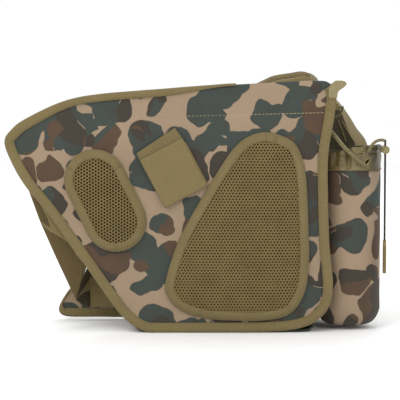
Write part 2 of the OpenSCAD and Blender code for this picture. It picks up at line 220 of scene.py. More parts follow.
# ---- meshes ----
def cleaned(mesh, merge=0.0):
    """Turns the normals outwards, and first joins points closer than merge."""
    b = bmesh.new()
    b.from_mesh(mesh)
    if merge:
        bmesh.ops.remove_doubles(b, verts=b.verts, dist=merge)
    bmesh.ops.recalc_face_normals(b, faces=b.faces)
    b.to_mesh(mesh)
    b.free()


def make(name, points, faces, materials, body="pack", uv=None, indices=None, slot=None, replaces=()):
    mesh = bpy.data.meshes.new(name)
    mesh.from_pydata([tuple(float(c) * MM for c in p) for p in points], [], faces)
    mesh.validate()
    for m in materials if isinstance(materials, list) else [materials]:
        mesh.materials.append(m)
    if indices is not None:
        mesh.polygons.foreach_set("material_index", indices)
    mesh.polygons.foreach_set("use_smooth", [True] * len(mesh.polygons))
    if uv is not None:
        corners = np.zeros(len(mesh.loops), np.int32)
        mesh.loops.foreach_get("vertex_index", corners)
        mesh.uv_layers.new(name="UVMap").data.foreach_set("uv", (np.array(uv, float)[corners] * MM).ravel())
    cleaned(mesh)
    obj = bpy.data.objects.new(name, mesh)
    bpy.context.scene.collection.objects.link(obj)
    if body:
        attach(obj, body)
    if replaces:
        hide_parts(*replaces)
    return obj


def grid_faces(rows, cols, wrap_rows=False, wrap_cols=False, start=0):
    return [tuple(start + r % rows * cols + c % cols for r, c in ((i, j), (i, j + 1), (i + 1, j + 1),
        (i + 1, j))) for i in range(rows if wrap_rows else rows - 1)
        for j in range(cols if wrap_cols else cols - 1)]


def capped(rows, cols, start=0):
    """Faces of a row of rings, closed at both ends."""
    ends = [tuple(start + i * cols + j for j in range(cols)) for i in (0, rows - 1)]
    return grid_faces(rows, cols, wrap_cols=True, start=start) + ends


def two_sided(rows, cols, wrap=False):
    """Faces of a front, a back and the rim between them. The back's points come after the front's."""
    n = rows * cols
    faces = grid_faces(rows, cols, wrap_cols=wrap) + grid_faces(rows, cols, wrap_cols=wrap, start=n)
    rim = [[r * cols + c for c in range(cols)] + ([r * cols] if wrap else []) for r in (0, rows - 1)]
    rim += [] if wrap else [[r * cols + c for r in range(rows)] for c in (0, cols - 1)]
    for line in rim:
        faces += [(a, b, b + n, a + n) for a, b in zip(line[:-1], line[1:])]
    return faces


BAND = [(-1, 0), (-0.985, 0.7), (-0.95, 1), (-0.5, 1.04), (0, 1.05), (0.5, 1.04), (0.95, 1), (0.985, 0.7),
    (1, 0), (0.985, -0.7), (0.95, -1), (0.5, -1.04), (0, -1.05), (-0.5, -1.04), (-0.95, -1), (-0.985, -0.7)]


def frames(path, hints):
    """Heading, width direction and thickness direction at each point."""
    h = tangents(path, False)
    a = np.array([unit(u - (u @ v) * v) for u, v in zip(hints, h)])
    return h, a, np.cross(h, a)


def ribbon(name, path, hints, widths, thick, material, **more):
    """A flat band with soft edges through the points; hints give its width's direction."""
    n, wave = 6, 0.25
    p, hs = smooth_path(path, n), smooth_path(hints, n)
    w = smooth_path(np.array(widths, float).reshape(-1, 1), n)[:, 0] if np.ndim(widths) else np.full(len(p),
        widths)
    _, a, b = frames(p, hs)
    d = lengths(p)
    points, uv = [], []
    for i in range(len(p)):
        for s, t in BAND:
            lift = wave * ripple(d[i], s * 9, 0, 11, 3)
            points.append(p[i] + a[i] * s * w[i] / 2 + b[i] * (t * thick / 2 + lift * (1 - s * s)))
            uv.append((s * w[i] / 2, d[i]))
    return make(name, points, capped(len(p), len(BAND)), material, uv=uv, **more)


def tube(name, path, r, material, sides=12, ref=(0, 0, 1), **more):
    """A round cord through the points."""
    h = tangents(path, False)
    d = lengths(path)
    u = np.cross(h[0], ref if abs(h[0] @ np.array(ref)) < 0.9 else (1, 0, 0))
    points, uv = [], []
    for i in range(len(path)):
        u = unit(u - (u @ h[i]) * h[i])
        v = np.cross(h[i], u)
        for j in range(sides):
            t = 2 * math.pi * j / sides
            points.append(path[i] + r * (math.cos(t) * u + math.sin(t) * v))
            uv.append((j / sides * 2 * math.pi * r, d[i]))
    return make(name, points, capped(len(path), sides), material, uv=uv, **more)


def edge_strip(name, outline, profile, node, closed=True, width=None, **more):
    """Binding round a clockwise outline. profile lists (inset, y) round its section, and width scales it."""
    wobble = 0.35
    normals = inward(outline, closed)
    d = lengths(outline)
    around = np.r_[0, np.cumsum([math.dist(profile[i], profile[i + 1]) for i in range(len(profile) - 1)])]
    width = np.ones(len(outline)) if width is None else width
    points, uv = [], []
    for i, (q, n) in enumerate(zip(outline, normals)):
        shift = wobble * ripple(q[0], 0, q[1], 26, 5)
        for k, (inset, y) in enumerate(profile):
            inset *= width[i] if inset > 1.3 else 1
            bend = wobble * 0.7 * ripple(q[0], inset * 4, q[1], 14, 6)
            points.append((q[0] + n[0] * (inset + shift), y + bend, q[1] + n[1] * (inset + shift)))
            uv.append((around[k], d[i]))
    size = len(outline), len(profile)
    faces = grid_faces(*size, wrap_rows=True, wrap_cols=True) if closed else capped(*size)
    replaces = [node] if node else []
    return make(name, points, faces, BINDING, uv=uv, slot="binding", replaces=replaces, **more)


def stitches(name, path, out, material, long=2.6, gap=1.1, r=0.32, slot="binding", **more):
    """A row of thread stitches along a path; out is the direction they stand up in."""
    p = even(path, long + gap)
    points, faces = [], []
    ring = [(0, -1), (0.72, -0.7), (1, 0), (0.72, 0.7), (0, 1), (-1, 0.2)]
    for a, b in zip(p[:-1], p[1:]):
        h = unit(b - a)
        o = unit(np.array(out, float) - (np.array(out) @ h) * h)
        side = np.cross(h, o)
        start = len(points)
        for t, k, rise in ((0, 0.35, -0.1), (0.25, 1, 0.35), (0.75, 1, 0.35), (1, 0.35, -0.1)):
            c = a + h * long * t + o * r * rise * 2
            points += [c + (u * side + v * o) * r * k for u, v in ring]
        faces += capped(4, 6, start)
    return make(name, points, faces, material, slot=slot, **more)


def net(name, cells, place, pitch, hole, depth, columns=False, walls=None, **more):
    """A net with a round hole at each cell of a hex lattice. place(u, v, h) gives the points at height h."""
    turn = np.radians(30 * np.arange(12))
    apothem = pitch / 2
    rim = apothem / np.cos((turn + math.pi / 6) % (math.pi / 3) - math.pi / 6)
    rings = [(rim, 0.0), (np.full(12, (apothem + hole) / 2), 0.02), (np.full(12, hole), -0.35),
        (np.full(12, hole * 0.96), -depth)]
    spread = np.array([(r[k] * math.cos(turn[k]), r[k] * math.sin(turn[k]), h) for r, h in rings
        for k in range(12)])
    spread = spread[:, [1, 0, 2]] if columns else spread
    c = np.array(cells)
    u, v = (c[:, None, 0] + spread[:, 0]).ravel(), (c[:, None, 1] + spread[:, 1]).ravel()
    points = place(u, v, np.tile(spread[:, 2], len(c)))
    one = grid_faces(4, 12, wrap_cols=True)
    faces = [tuple(48 * i + j for j in f) for i in range(len(c)) for f in one]
    # walls, when given, paints the holes' inner sides dark: painted shade in the holes.
    parts = [0] * 24 + [1 if walls else 0] * 12
    materials = [NET, walls] if walls else NET
    obj = make(name, points, faces, materials, None, indices=parts * len(c), slot="mesh", **more)
    cleaned(obj.data, 0.02 * MM)
    obj.data.polygons.foreach_set("use_smooth", [True] * len(obj.data.polygons))
    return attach(obj, "pack")


# ---- materials ----
class Graph:
    """A material's node graph."""

    def __init__(self, name, roughness=0.9, specular=0.25, metallic=0.0, sheen=0.0):
        self.material = bpy.data.materials.new(name)
        self.material.use_nodes = True
        self.tree = self.material.node_tree
        self.shader = self.tree.nodes["Principled BSDF"]
        self.shader.inputs["Roughness"].default_value = roughness
        self.shader.inputs["Specular IOR Level"].default_value = specular
        self.shader.inputs["Metallic"].default_value = metallic
        self.shader.inputs["Sheen Weight"].default_value = sheen

    def node(self, kind, inputs, **settings):
        n = self.tree.nodes.new("ShaderNode" + kind)
        for key, value in settings.items():
            setattr(n, key, value)
        for key, value in inputs.items():
            if isinstance(value, bpy.types.NodeSocket):
                self.tree.links.new(value, n.inputs[key])
            else:
                n.inputs[key].default_value = value
        return n

    def math(self, operation, a, b=0.0, clamp=False):
        return self.node("Math", {0: a, 1: b}, operation=operation, use_clamp=clamp).outputs[0]

    def vector(self, operation, a, b=(0, 0, 0)):
        return self.node("VectorMath", {0: a, 1: b}, operation=operation).outputs[0]

    def mix(self, factor, a, b, blend="MIX"):
        return self.node("Mix", {0: factor, 6: a, 7: b}, data_type="RGBA", blend_type=blend).outputs[2]

    def noise(self, where, size, detail=2.0, rough=0.5):
        """Noise from 0 to 1 with lumps of that many millimetres."""
        return self.node("TexNoise", {"Vector": where, "Scale": 1 / size, "Detail": detail,
            "Roughness": rough}).outputs

    def place(self, kind="Object"):
        """The row frame's coordinates in millimetres."""
        return self.vector("MULTIPLY", self.node("TexCoord", {}).outputs[kind], [1 / MM] * 3)

    def unwrapped(self):
        """The piece's own coordinates in millimetres: across, then along."""
        return self.place("UV")

    def split(self, where):
        return self.node("SeparateXYZ", {0: where}).outputs

    def ripples(self, distance, pitch, phase=0.0):
        """A wave from -1 to 1 along a distance."""
        return self.math("SINE", self.math("ADD", self.math("MULTIPLY", distance, 2 * math.pi / pitch),
            phase))

    def level(self, value, low_end, high_end):
        """0 below low_end, 1 above high_end."""
        return self.math("MULTIPLY", self.math("SUBTRACT", value, low_end), 1 / (high_end - low_end),
            clamp=True)

    def done(self, color, height=None, bump=0.3, distance=0.3, roughness=None):
        for key, value in (("Base Color", color), ("Roughness", roughness)):
            if isinstance(value, bpy.types.NodeSocket):
                self.tree.links.new(value, self.shader.inputs[key])
            elif value is not None:
                self.shader.inputs[key].default_value = value
        if height is not None:
            b = self.node("Bump", {"Height": height, "Strength": bump, "Distance": distance * MM})
            self.tree.links.new(b.outputs[0], self.shader.inputs["Normal"])
        return self.material


def linear(r, g, b):
    """A colour given as it looks on a screen, 0 to 255."""
    return tuple(((c / 255 + 0.055) / 1.055) ** 2.4 if c > 10 else c / 255 / 12.92
        for c in (r, g, b)) + (1.0,)


TAN, SLATE, CHARCOAL, BROWN = linear(146, 126, 104), linear(59, 66, 61), linear(60, 54, 47), linear(82, 64,
    49)
OLIVE, OLIVE_DARK = (132, 118, 80), (90, 78, 48)


def weave(g):
    """Height of a plain weave."""
    pitch = 0.9
    x, y, z = g.split(g.place())[:3]
    across = g.ripples(g.math("ADD", x, g.math("MULTIPLY", y, 0.7)), pitch)
    return g.math("MULTIPLY", across, g.ripples(g.math("ADD", z, g.math("MULTIPLY", y, 0.7)), pitch))


def discs(g, where, size, small, large, share):
    """Height over the rims of scattered round patches."""
    cell = g.node("TexVoronoi", {"Vector": where, "Scale": 1 / size, "Randomness": 0.8},
        voronoi_dimensions="2D").outputs
    pick = g.node("SeparateColor", {0: cell["Color"]}).outputs
    radius = g.math("ADD", small, g.math("MULTIPLY", pick[0], large - small))
    away = g.math("MULTIPLY", g.math("GREATER_THAN", pick[1], share), 99.0)
    return g.math("SUBTRACT", g.math("SUBTRACT", radius, g.math("MULTIPLY", cell["Distance"], size)), away)


# Layers of patches: spacing, smallest and largest radius, share that is drawn, and stretch across
PATCHES = ((48, 15, 22, 0.88, 0.9), (31, 8, 13, 0.8, 0.75), (38, 10, 16.5, 0.76, 1.2))


def camouflage(name, across, up, shift):
    """A generic camouflage: lobed patches of three dark tones on a tan ground."""
    g = Graph(name, roughness=0.82, specular=0.25, sheen=0.06)
    here = g.node("CombineXYZ", {0: g.math("ADD", across(g), shift), 1: up(g)}).outputs[0]
    wander = g.vector("MULTIPLY", g.vector("SUBTRACT", g.noise(here, 42, 1.0)[1], (0.5, 0.5, 0.5)),
        (34, 34, 0))
    frill = g.vector("MULTIPLY", g.vector("SUBTRACT", g.noise(here, 13, 1.0)[1], (0.5, 0.5, 0.5)), (6, 6, 0))
    bent = g.vector("ADD", here, g.vector("ADD", wander, frill))
    height = None
    for *patches, stretch in PATCHES:
        layer = discs(g, g.vector("MULTIPLY", bent, (stretch, 1, 1)), *patches)
        if height is not None:
            layer = g.node("Math", {0: height, 1: layer, 2: 5.0}, operation="SMOOTH_MAX").outputs[0]
        height = layer
    tint = g.vector("ADD", bent, (211, 97, 0))
    regions = {"Vector": tint, "Scale": 1 / 38}
    pick = g.node("SeparateColor", {0: g.node("TexVoronoi", regions,
        voronoi_dimensions="2D").outputs["Color"]}).outputs[0]
    edge = g.node("TexVoronoi", regions, voronoi_dimensions="2D", feature="DISTANCE_TO_EDGE").outputs[0]
    tone = g.mix(g.math("GREATER_THAN", pick, 0.5), SLATE, CHARCOAL)
    tone = g.mix(g.math("GREATER_THAN", pick, 0.84), tone, BROWN)
    fade = g.level(g.noise(here, 28, 1.0)[0], 0.35, 0.7)
    tone = g.mix(g.math("MULTIPLY", fade, 0.3), tone, CHARCOAL)
    color = g.mix(g.level(height, 0.0, 0.6), TAN, tone)
    vein = g.math("MULTIPLY", g.math("LESS_THAN", edge, 0.012),
        g.math("GREATER_THAN", g.noise(here, 30, 1.0)[0], 0.63))
    color = g.mix(vein, color, TAN)
    spots = discs(g, g.vector("ADD", bent, (57, 131, 0)), 47, 4, 9, 0.5)
    color = g.mix(g.level(spots, 0.0, 0.6), color, g.mix(g.math("GREATER_THAN", pick, 0.4), CHARCOAL, BROWN))
    patina = g.math("ADD", 0.88, g.math("MULTIPLY", g.noise(here, 50, 3.0)[0], 0.24))
    threads = g.math("ADD", 0.93, g.math("MULTIPLY", g.noise(g.place(), 0.8, 1.0)[0], 0.14))
    for shade in (patina, threads):
        color = g.mix(1.0, color, g.node("CombineColor", {0: shade, 1: shade, 2: shade}).outputs[0],
            "MULTIPLY")
    bumps = g.math("ADD", weave(g), g.math("MULTIPLY", g.noise(g.place(), 9, 2.0)[0], 5))
    return g.done(color, bumps, 0.4, 0.14)


def along_axis(axis):
    return lambda g: g.split(g.place())[axis]


def on_piece(axis):
    """The piece's own coordinate, so that the print bends with it."""
    return lambda g: g.split(g.unwrapped())[axis]


def round_pocket(g):
    """The way round the bottle pocket, in millimetres."""
    spot = g.split(g.vector("SUBTRACT", g.place(), (AXIS[0], AXIS[1], 0)))
    return g.math("MULTIPLY", g.math("ARCTAN2", spot[1], spot[0]), POCKET_R)


def cloth(name, color, dark, pitch, grain, cross=False):
    """Woven tape with ribs along it, or across it."""
    color, dark = linear(*color), linear(*dark)
    g = Graph(name, roughness=0.9, specular=0.2, sheen=0.1)
    u, v, _ = g.split(g.unwrapped())[:3]
    ribs = g.ripples(v if cross else u, pitch)
    picks = g.ripples(u if cross else v, pitch * 0.8, 1.0)
    height = g.math("ADD", ribs, g.math("MULTIPLY", g.math("MULTIPLY", picks, ribs), 0.5))
    # Darker in the valleys between ribs: painted shade, with random yarn tone mixed in.
    tone = g.level(g.math("ADD", height, g.math("MULTIPLY", g.noise(g.place(), 1.2, 2.0)[0], 1.6)), -1.6, 2.2)
    shade = g.mix(tone, dark, color)
    patches = g.level(g.noise(g.place(), 24, 3.0)[0], 0.25, 0.75)
    shade = g.mix(g.math("MULTIPLY", patches, grain), shade, dark)
    return g.done(shade, height, 0.5, 0.25)


def plain(name, color, dark, size, roughness, specular, metallic=0.0, bump=0.25, distance=0.1):
    """A surface with fine grain and slow colour change."""
    color, dark = linear(*color), linear(*dark)
    g = Graph(name, roughness, specular, metallic)
    here = g.place()
    fine = g.noise(here, size, 4.0, 0.6)[0]
    shade = g.mix(g.level(g.noise(here, size * 9, 3.0)[0], 0.3, 0.75), color, dark)
    shade = g.mix(g.level(fine, 0.45, 0.9), shade, dark)
    rough = g.math("ADD", roughness - 0.08, g.math("MULTIPLY", fine, 0.16))
    return g.done(shade, fine, bump, distance, rough)


def braid(name, color, dark, r):
    """A round braid: two sets of strands that wind opposite ways."""
    color, dark = linear(*color), linear(*dark)
    g = Graph(name, roughness=0.85, specular=0.25, sheen=0.1)
    u, v, _ = g.split(g.unwrapped())[:3]
    turn = g.math("DIVIDE", g.math("MULTIPLY", u, 4), r)
    lay = g.math("MULTIPLY", v, 2 * math.pi / 3.2)
    one = g.math("SINE", g.math("ADD", turn, lay))
    two = g.math("SINE", g.math("SUBTRACT", turn, lay))
    height = g.math("MAXIMUM", one, two)
    # The grooves between strands are darker: painted shade.
    shade = g.mix(g.level(height, -0.2, 1.0), dark, color)
    return g.done(shade, height, 0.7, 0.4)


AXIS = (low("bottle_pocket") + high("bottle_pocket"))[:2] / 2
POCKET_R = (high("bottle_pocket") - low("bottle_pocket"))[0] / 2
CAMO = camouflage("camo_panel", along_axis(0), along_axis(2), 930)
CAMO_FLAP = camouflage("camo_flap", on_piece(0), on_piece(1), 410)
CAMO_SIDE = camouflage("camo_side", along_axis(1), along_axis(2), 300)
CAMO_BASE = camouflage("camo_base", along_axis(0), along_axis(1), 500)
CAMO_POCKET = camouflage("camo_pocket", round_pocket, along_axis(2), 700)
BINDING = cloth("binding_tape", OLIVE, OLIVE_DARK, pitch=1.4, grain=0.25, cross=True)
BINDING_PALE = cloth("binding_pale", (158, 148, 112), (108, 97, 64), pitch=1.4, grain=0.3, cross=True)
WEBBING = cloth("webbing", (134, 119, 81), OLIVE_DARK, pitch=1.5, grain=0.12)
WEBBING_FOLD = cloth("webbing_fold", (127, 113, 76), (84, 73, 45), pitch=1.5, grain=0.2)
# Painted shade: a darker copy of the webbing colour, for webbing that sits in shadow.
WEBBING_SHADE = cloth("webbing_shade", (116, 99, 64), (74, 62, 36), pitch=1.5, grain=0.3)
NET = plain("net", (114, 98, 59), (101, 86, 50), 2.0, 0.75, 0.3, bump=0.2)
# Painted shade: the dark seen through the net's holes. It colours the pad cores under the nets, the holes'
# inner walls and the collar's slits.
NET_HOLE_SHADE = plain("net_hole_shade", (44, 34, 16), (30, 23, 11), 2.5, 0.95, 0.1)
# The lining fabric's own colour. The same dark colour is also painted on outside pieces as shade: the pocket
# yoke and the inside of the side strap's bend and fold.
LINING_AND_SHADE = plain("lining", (70, 63, 43), (60, 54, 37), 1.2, 0.7, 0.3)
NYLON = plain("nylon", (127, 113, 72), (60, 51, 25), 4, 0.34, 0.45, bump=0.8, distance=1.3)
TOP_THREAD = plain("top_thread", (176, 166, 130), (146, 134, 98), 1.0, 0.8, 0.2)
THREAD = plain("thread", (140, 126, 88), (120, 107, 72), 1.0, 0.8, 0.2)
CORD = braid("cord_olive", (140, 129, 90), (76, 68, 42), 2.0)
ELASTIC = braid("cord_dark", (62, 52, 38), (24, 20, 14), 1.2)
HOOKS = plain("hook_and_loop", (62, 55, 37), (38, 33, 21), 0.9, 0.95, 0.1, bump=0.9, distance=0.5)
METAL = plain("bronzed_metal", (108, 100, 74), (72, 66, 46), 1.5, 0.38, 0.5, 0.85, 0.12)
STEEL = plain("spring_steel", (150, 148, 140), (110, 108, 100), 1.0, 0.35, 0.5, 0.9)
LOCK_PLASTIC = plain("lock_plastic", (146, 136, 92), (112, 101, 62), 0.8, 0.45, 0.4, bump=0.2, distance=0.06)
PLASTIC = plain("moulded_plastic", (84, 77, 53), (68, 62, 42), 0.8, 0.55, 0.35, bump=0.2, distance=0.06)

# ---- cords, on the same routes as the frame's ----
LOCK = (low("lock_barrel") + high("lock_barrel")) / 2
STRAND_X, STRAND_Y = (low("pull_cord") + high("pull_cord"))[:2] / 2
STRAND_HALF = 2
STRAND_END = 97
TURN_Z = 202.6
CINCH_ROUTE = [[131, -24, 224], [133, -24, 224], [137, -31, 221.5], [142, -38, 217], [148, -42, 210.5],
    [154, -43.8, 203], [160, -44.2, 196], [167, -44.2, 189.5], [173, -43.6, 184], [178, -42.4, 180],
    [180.6, -40.4, 178.2], [179.3, -37.2, 178]]
BIGHT_ROUTE = [[183, -35.4, 193], [185, -38.7, 193.4], [186.4, -41, 196.4], [189.3, -41.7, 201],
    [194, -40.3, 204.2], [199.2, -37.2, 205], [203.2, -33.75, 203.8]]


def cord(name, route, r, material, node, slot="cord", lay="taut", **facts):
    """A free cord on its frame's route."""
    path = even(smooth_path(route, 8), r * 0.8)
    obj = tube(name, path, r, material, replaces=[node], slot=slot)
    return obj


cord("cinch_drawcord", CINCH_ROUTE, 2.2, CORD, "cinch_cord")
down = [(STRAND_Y + STRAND_HALF, z) for z in (190, 170, 145, 120, STRAND_END)]
over = [(STRAND_Y - STRAND_HALF * math.cos(a), TURN_Z + STRAND_HALF * math.sin(a))
    for a in np.radians(range(0, 181, 30))]
up = [(STRAND_Y - STRAND_HALF, z) for _, z in down[::-1]]
strand = [[STRAND_X, y, z] for y, z in up + over + down]
cord("cinch_bight_cord", BIGHT_ROUTE, 1.6, CORD, "cinch_bight")
tab_low, tab_high = low("pull_tab"), high("pull_tab")
tab_mid = (tab_low + tab_high) / 2
tab_path = [[tab_mid[0], tab_mid[1], z] for z in np.linspace(tab_low[2], tab_high[2], 5)]
tab = ribbon("pull_tab_webbing", tab_path, [[0, 1, 0]] * 5, [9, 10, 10, 10, 7.5], 3, WEBBING, slot="webbing",
    replaces=["pull_tab"])
spring_low, spring_high = low("lock_spring"), high("lock_spring")
SPRING_TURNS, SPRING_R, SPRING_WIRE = 5, 2.2, 0.35
wind = np.linspace(0, 1, 90)
angle = 2 * math.pi * SPRING_TURNS * wind
spring_y = spring_low[1] + SPRING_WIRE + (spring_high[1] - spring_low[1] - 2 * SPRING_WIRE) * wind
winding = np.column_stack([LOCK[0] + SPRING_R * np.cos(angle), spring_y, LOCK[2] + SPRING_R * np.sin(angle)])
coil = tube("lock_spring_coil", winding, SPRING_WIRE, STEEL, sides=6, body="cord_lock", slot="metal",
    replaces=["lock_spring"])
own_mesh(coil)
cord("pull_cord_elastic", strand, 0.9, ELASTIC, "pull_cord", slot="elastic", lay="hanging",
    with_pieces=[tab, coil, "lock_barrel", "lock_plunger"])


# ---- flat padded bodies ----
def slab(outline, rings, front, back, step=5):
    """A flat body. rings lists (inset, drop) from the edge inwards. front and back give its faces' y."""
    n = len(outline)
    normals = inward(outline)
    points = [(x, (front(x, z) + back(x, z)) / 2, z) for x, z in outline]
    faces, sides = [], []
    for side, (height, sign) in enumerate(((front, 1), (back, -1))):
        previous = list(range(n))
        for inset, drop in rings:
            ring = outline + normals * inset
            start = len(points)
            points += [(x, height(x, z) + sign * drop, z) for x, z in ring]
            faces += [(previous[i], previous[(i + 1) % n], start + (i + 1) % n, start + i) for i in range(n)]
            previous = list(range(start, start + n))
        flat, triangles = fill(outline + normals * rings[-1][0], step)
        start = len(points) - n
        points += [(x, height(x, z), z) for x, z in flat[n:]]
        faces += [tuple(start + i for i in t) for t in triangles]
        sides += [side] * (len(faces) - len(sides))
    return points, faces, sides


def shell(name, grid, thick, outside, inside, wrap=False, slot="camo", **more):
    """A sheet of that thickness behind a grid of points."""
    g = np.array(grid, float)
    m, k = g.shape[:2]
    across = np.roll(g, -1, 1) - np.roll(g, 1, 1) if wrap else np.gradient(g, axis=1)
    normal = np.cross(np.gradient(g, axis=0), across)
    normal /= np.maximum(np.linalg.norm(normal, axis=2), 1e-9)[:, :, None]
    points = np.vstack([g.reshape(-1, 3), (g - normal * thick).reshape(-1, 3)])
    faces = two_sided(m, k, wrap)
    one = (m - 1) * (k if wrap else k - 1)
    indices = [0] * one + [1] * one + [0] * (len(faces) - 2 * one)
    return make(name, points, faces, [outside, inside], indices=indices, slot=slot, **more)


TAPE = 9.5


def tape_profile(front, back, wide=TAPE, thick=0.95):
    """The section of a folded tape round an edge, as (inset, y)."""
    middle, outside = (front + back) / 2, 0.5
    half = [(wide, front - thick * 0.3), (wide - 0.4, front - thick), (wide * 0.68, front - thick * 1.5),
        (wide * 0.34, front - thick * 1.65), (1, front - thick), (0.0, front - thick * 0.1),
        (-outside, front + (middle - front) * 0.45), (-outside * 1.2, middle)]
    outer = half + [(i, back + front - y) for i, y in half[-2::-1]]
    inner = [(wide - 0.3, back - 0.35), (1.2, back - 0.35), (0.5, middle), (1.2, front + 0.35),
        (wide - 0.3, front + 0.35)]
    return outer + inner


def patch(name, corners, thick, material, on, step=2.0, wave=0.0, uv_turn=False, slot="webbing", **more):
    """A flat sewn piece. corners lists (x, z, cut). on(x, z) gives the place of its face, or only its y."""
    outline = even(rounded(corners), step, closed=True)
    rings = [(0.15, thick * 0.3), (0.6, 0.0)]
    points, faces, _ = slab(outline, rings, lambda x, z: -thick / 2, lambda x, z: thick / 2, step)
    placed = []
    for x, y, z in points:
        q = on(x, z)
        q = np.array(q if np.ndim(q) else (x, q, z), float)
        placed.append(q + np.array([0, y + wave * ripple(x, 0, z, 16, 8), 0]))
    uv = [(z, x) if uv_turn else (x, z) for x, _, z in points]
    return make(name, placed, faces, material, uv=uv, slot=slot, **more)


ROUND = [(0.25, 1.5), (0.8, 0.75), (1.7, 0.25), (3.2, 0.0)]
SOFT_EDGE = [(0.3, 0.7), (1.2, 0.2), (3, 0)]

# ---- back panel ----
BACK_POINTS = [[-201, 203], [-193, 217], [-178, 228], [-139, 246], [-98, 254], [-36, 259], [6, 262.5],
    [73, 266.5], [128, 269], [143, 266], [149, 255], [147.5, 232], [141, 190], [141, 142], [142.5, 98],
    [146.5, 52], [143, 29], [133, 16], [118, 7], [87, 1.8], [6, 0.6], [-38, 0.6], [-54, 2], [-72, 13],
    [-89, 33], [-123, 82], [-155, 127], [-178, 155], [-192, 178]]
PANEL = even(smooth_loop(BACK_POINTS, 8), 3.4, closed=True)
STITCH_A, STITCH_B = np.array([-37, 230.0]), np.array([137, 234.5])


def panel_front(x, z):
    line = STITCH_A[1] + (x - STITCH_A[0]) / (STITCH_B[0] - STITCH_A[0]) * (STITCH_B[1] - STITCH_A[1])
    groove = 0.9 * math.exp(-(((z - line) / 2.2) ** 2)) * ease(x, STITCH_A[0] - 4, STITCH_A[0] + 4)
    puff = 0.75 * ripple(x, 0, z, 46, 1) + 0.4 * ripple(x, 3, z, 19, 2)
    pucker = 0.35 * ripple(x * 2.2, 5, z, 14, 4) * math.exp(-(((z - line - 4) / 10) ** 2))
    return PANEL_Y + 0.7 + groove - puff * 0.8 - pucker


def panel_back(x, z):
    return BACK_Y - 0.4 - 0.4 * abs(ripple(x, 9, z, 38, 3))


points, faces, sides = slab(PANEL + inward(PANEL) * 0.7, ROUND, panel_front, panel_back)
panel = make("back_panel_fabric", points, faces, [CAMO, LINING_AND_SHADE], indices=sides, slot="camo",
    replaces=["back_fabric", "back_foam", "back_lining", "top_roll"])

start = np.argmin(np.linalg.norm(PANEL - [144, 264], axis=1))
around = np.roll(PANEL, -start, 0)
end = len(around) - np.argmin(np.linalg.norm(around[::-1] - [42, 264.6], axis=1))
around = around[:end]
normals = inward(around, False)
on_top = (around[:, 1] > 205) * (np.arange(len(around)) > 50)
taper = 1.08 - on_top * (0.3 * ease(around[:, 0], -185, -120) + 0.55 * ease(around[:, 0], -40, 38))
edge_strip("back_panel_binding", around, tape_profile(PANEL_Y, BACK_Y), "back_binding", closed=False,
    width=taper)
TAIL = [(140.8, 250, 2), (141.4, 261, 2), (147.5, 268.6, 3), (158.4, 268.2, 3), (161, 264.6, 2),
    (156.5, 260.6, 2), (150.8, 257, 3), (150, 249, 2)]
patch("binding_tail", TAIL, 1.4, BINDING_PALE, lambda x, z: PANEL_Y - 1.9 + 0.05 * max(0, x - 148) ** 1.6,
    step=1.6, uv_turn=True, slot="binding")
seam = np.array([(x, PANEL_Y - 1.25, z) for x, z in (around + normals * 8.2 * taper[:, None])[taper > 0.7]])
stitches("back_panel_seam", seam, (0, -1, 0), THREAD)
line = [STITCH_A + (STITCH_B - STITCH_A) * t for t in np.linspace(0, 1, 60)]
stitches("back_panel_topstitch", [(x, panel_front(x, z) - 0.1, z) for x, z in line], (0, -1, 0), TOP_THREAD,
    long=3.6, gap=0.5, r=0.34, slot="camo")


# ---- mesh pads ----
def mesh_pad(name, outline, rise, run, hole, joins, columns=False):
    """A crowned pad: a padded core, a net over it and a folded tape round its edge."""

    def face(x, z):
        """The y of the pad's face."""
        d = distance_to(np.column_stack([x, z]), outline)
        return PANEL_Y - PAD_EDGE - rise * np.sin(np.clip(d / run, 0, 1) * math.pi / 2)

    edge = outline + inward(outline) * 1.5
    flat, triangles = fill(edge, 4)
    n = len(edge)
    inner = len(flat)
    front = face(flat[:, 0], flat[:, 1]) + 1.9
    points = [(x, y, z) for (x, z), y in zip(flat, front)] + [(x, PANEL_Y - 0.4, z) for x, z in flat]
    faces = triangles + [tuple(inner + i for i in t) for t in triangles]
    faces += [(i, (i + 1) % n, inner + (i + 1) % n, inner + i) for i in range(n)]
    # The core's face under the net is painted dark: the shade seen through the holes.
    pad = make(name + "_pad_core", points, faces, NET_HOLE_SHADE, slot="mesh", replaces=[name + "_foam"])
    order, pitch = [1, 0] if columns else [0, 1], 3.5
    cells = lattice(outline.min(0)[order], outline.max(0)[order], pitch)[:, order]
    cells = cells[inside(cells, outline)]
    cells = cells[distance_to(cells, outline) > TAPE - 2.2]
    net(name + "_pad_mesh", cells, lambda u, v, h: np.column_stack([u, face(u, v) - h, v]), pitch, hole, 1.7,
        columns, replaces=[name + "_mesh"])
    lip = outline + inward(outline) * (TAPE - 1)
    top = float(np.median(face(lip[:, 0], lip[:, 1])))
    section = [(TAPE, top + 0.1), (TAPE - 0.3, top - 0.75), (TAPE * 0.7, top - 0.7), (TAPE * 0.4, top + 0.1),
        (1.6, PANEL_Y - 3.6), (0.2, PANEL_Y - 2.2), (-0.4, PANEL_Y - 0.9), (-0.2, PANEL_Y + 0.4),
        (TAPE - 1, PANEL_Y + 0.4), (TAPE - 0.8, top + 1.2)]
    edge_strip(name + "_pad_binding", outline, section, name + "_binding")
    seam = outline + inward(outline) * (TAPE - 1.5)
    for i, share in enumerate(joins):
        at = int(share * n)
        out, into = outline[at], inward(outline)[at]
        fold = [(TAPE - 0.6, top - 0.9), (TAPE * 0.7, top - 1.0), (TAPE * 0.4, top - 0.2),
            (1.6, PANEL_Y - 3.9), (0.4, PANEL_Y - 2.6)]
        route = np.array([(out[0] + into[0] * a, y, out[1] + into[1] * a) for a, y in fold])
        tube(f"{name}_pad_join_{i + 1}", route, 0.6, BINDING, sides=8, ref=(0, 1, 0), slot="binding")
    seam = [(x, top - 0.85, z) for x, z in np.vstack([seam, seam[:1]])]
    stitches(name + "_pad_seam", seam, (0, -1, 0), THREAD)


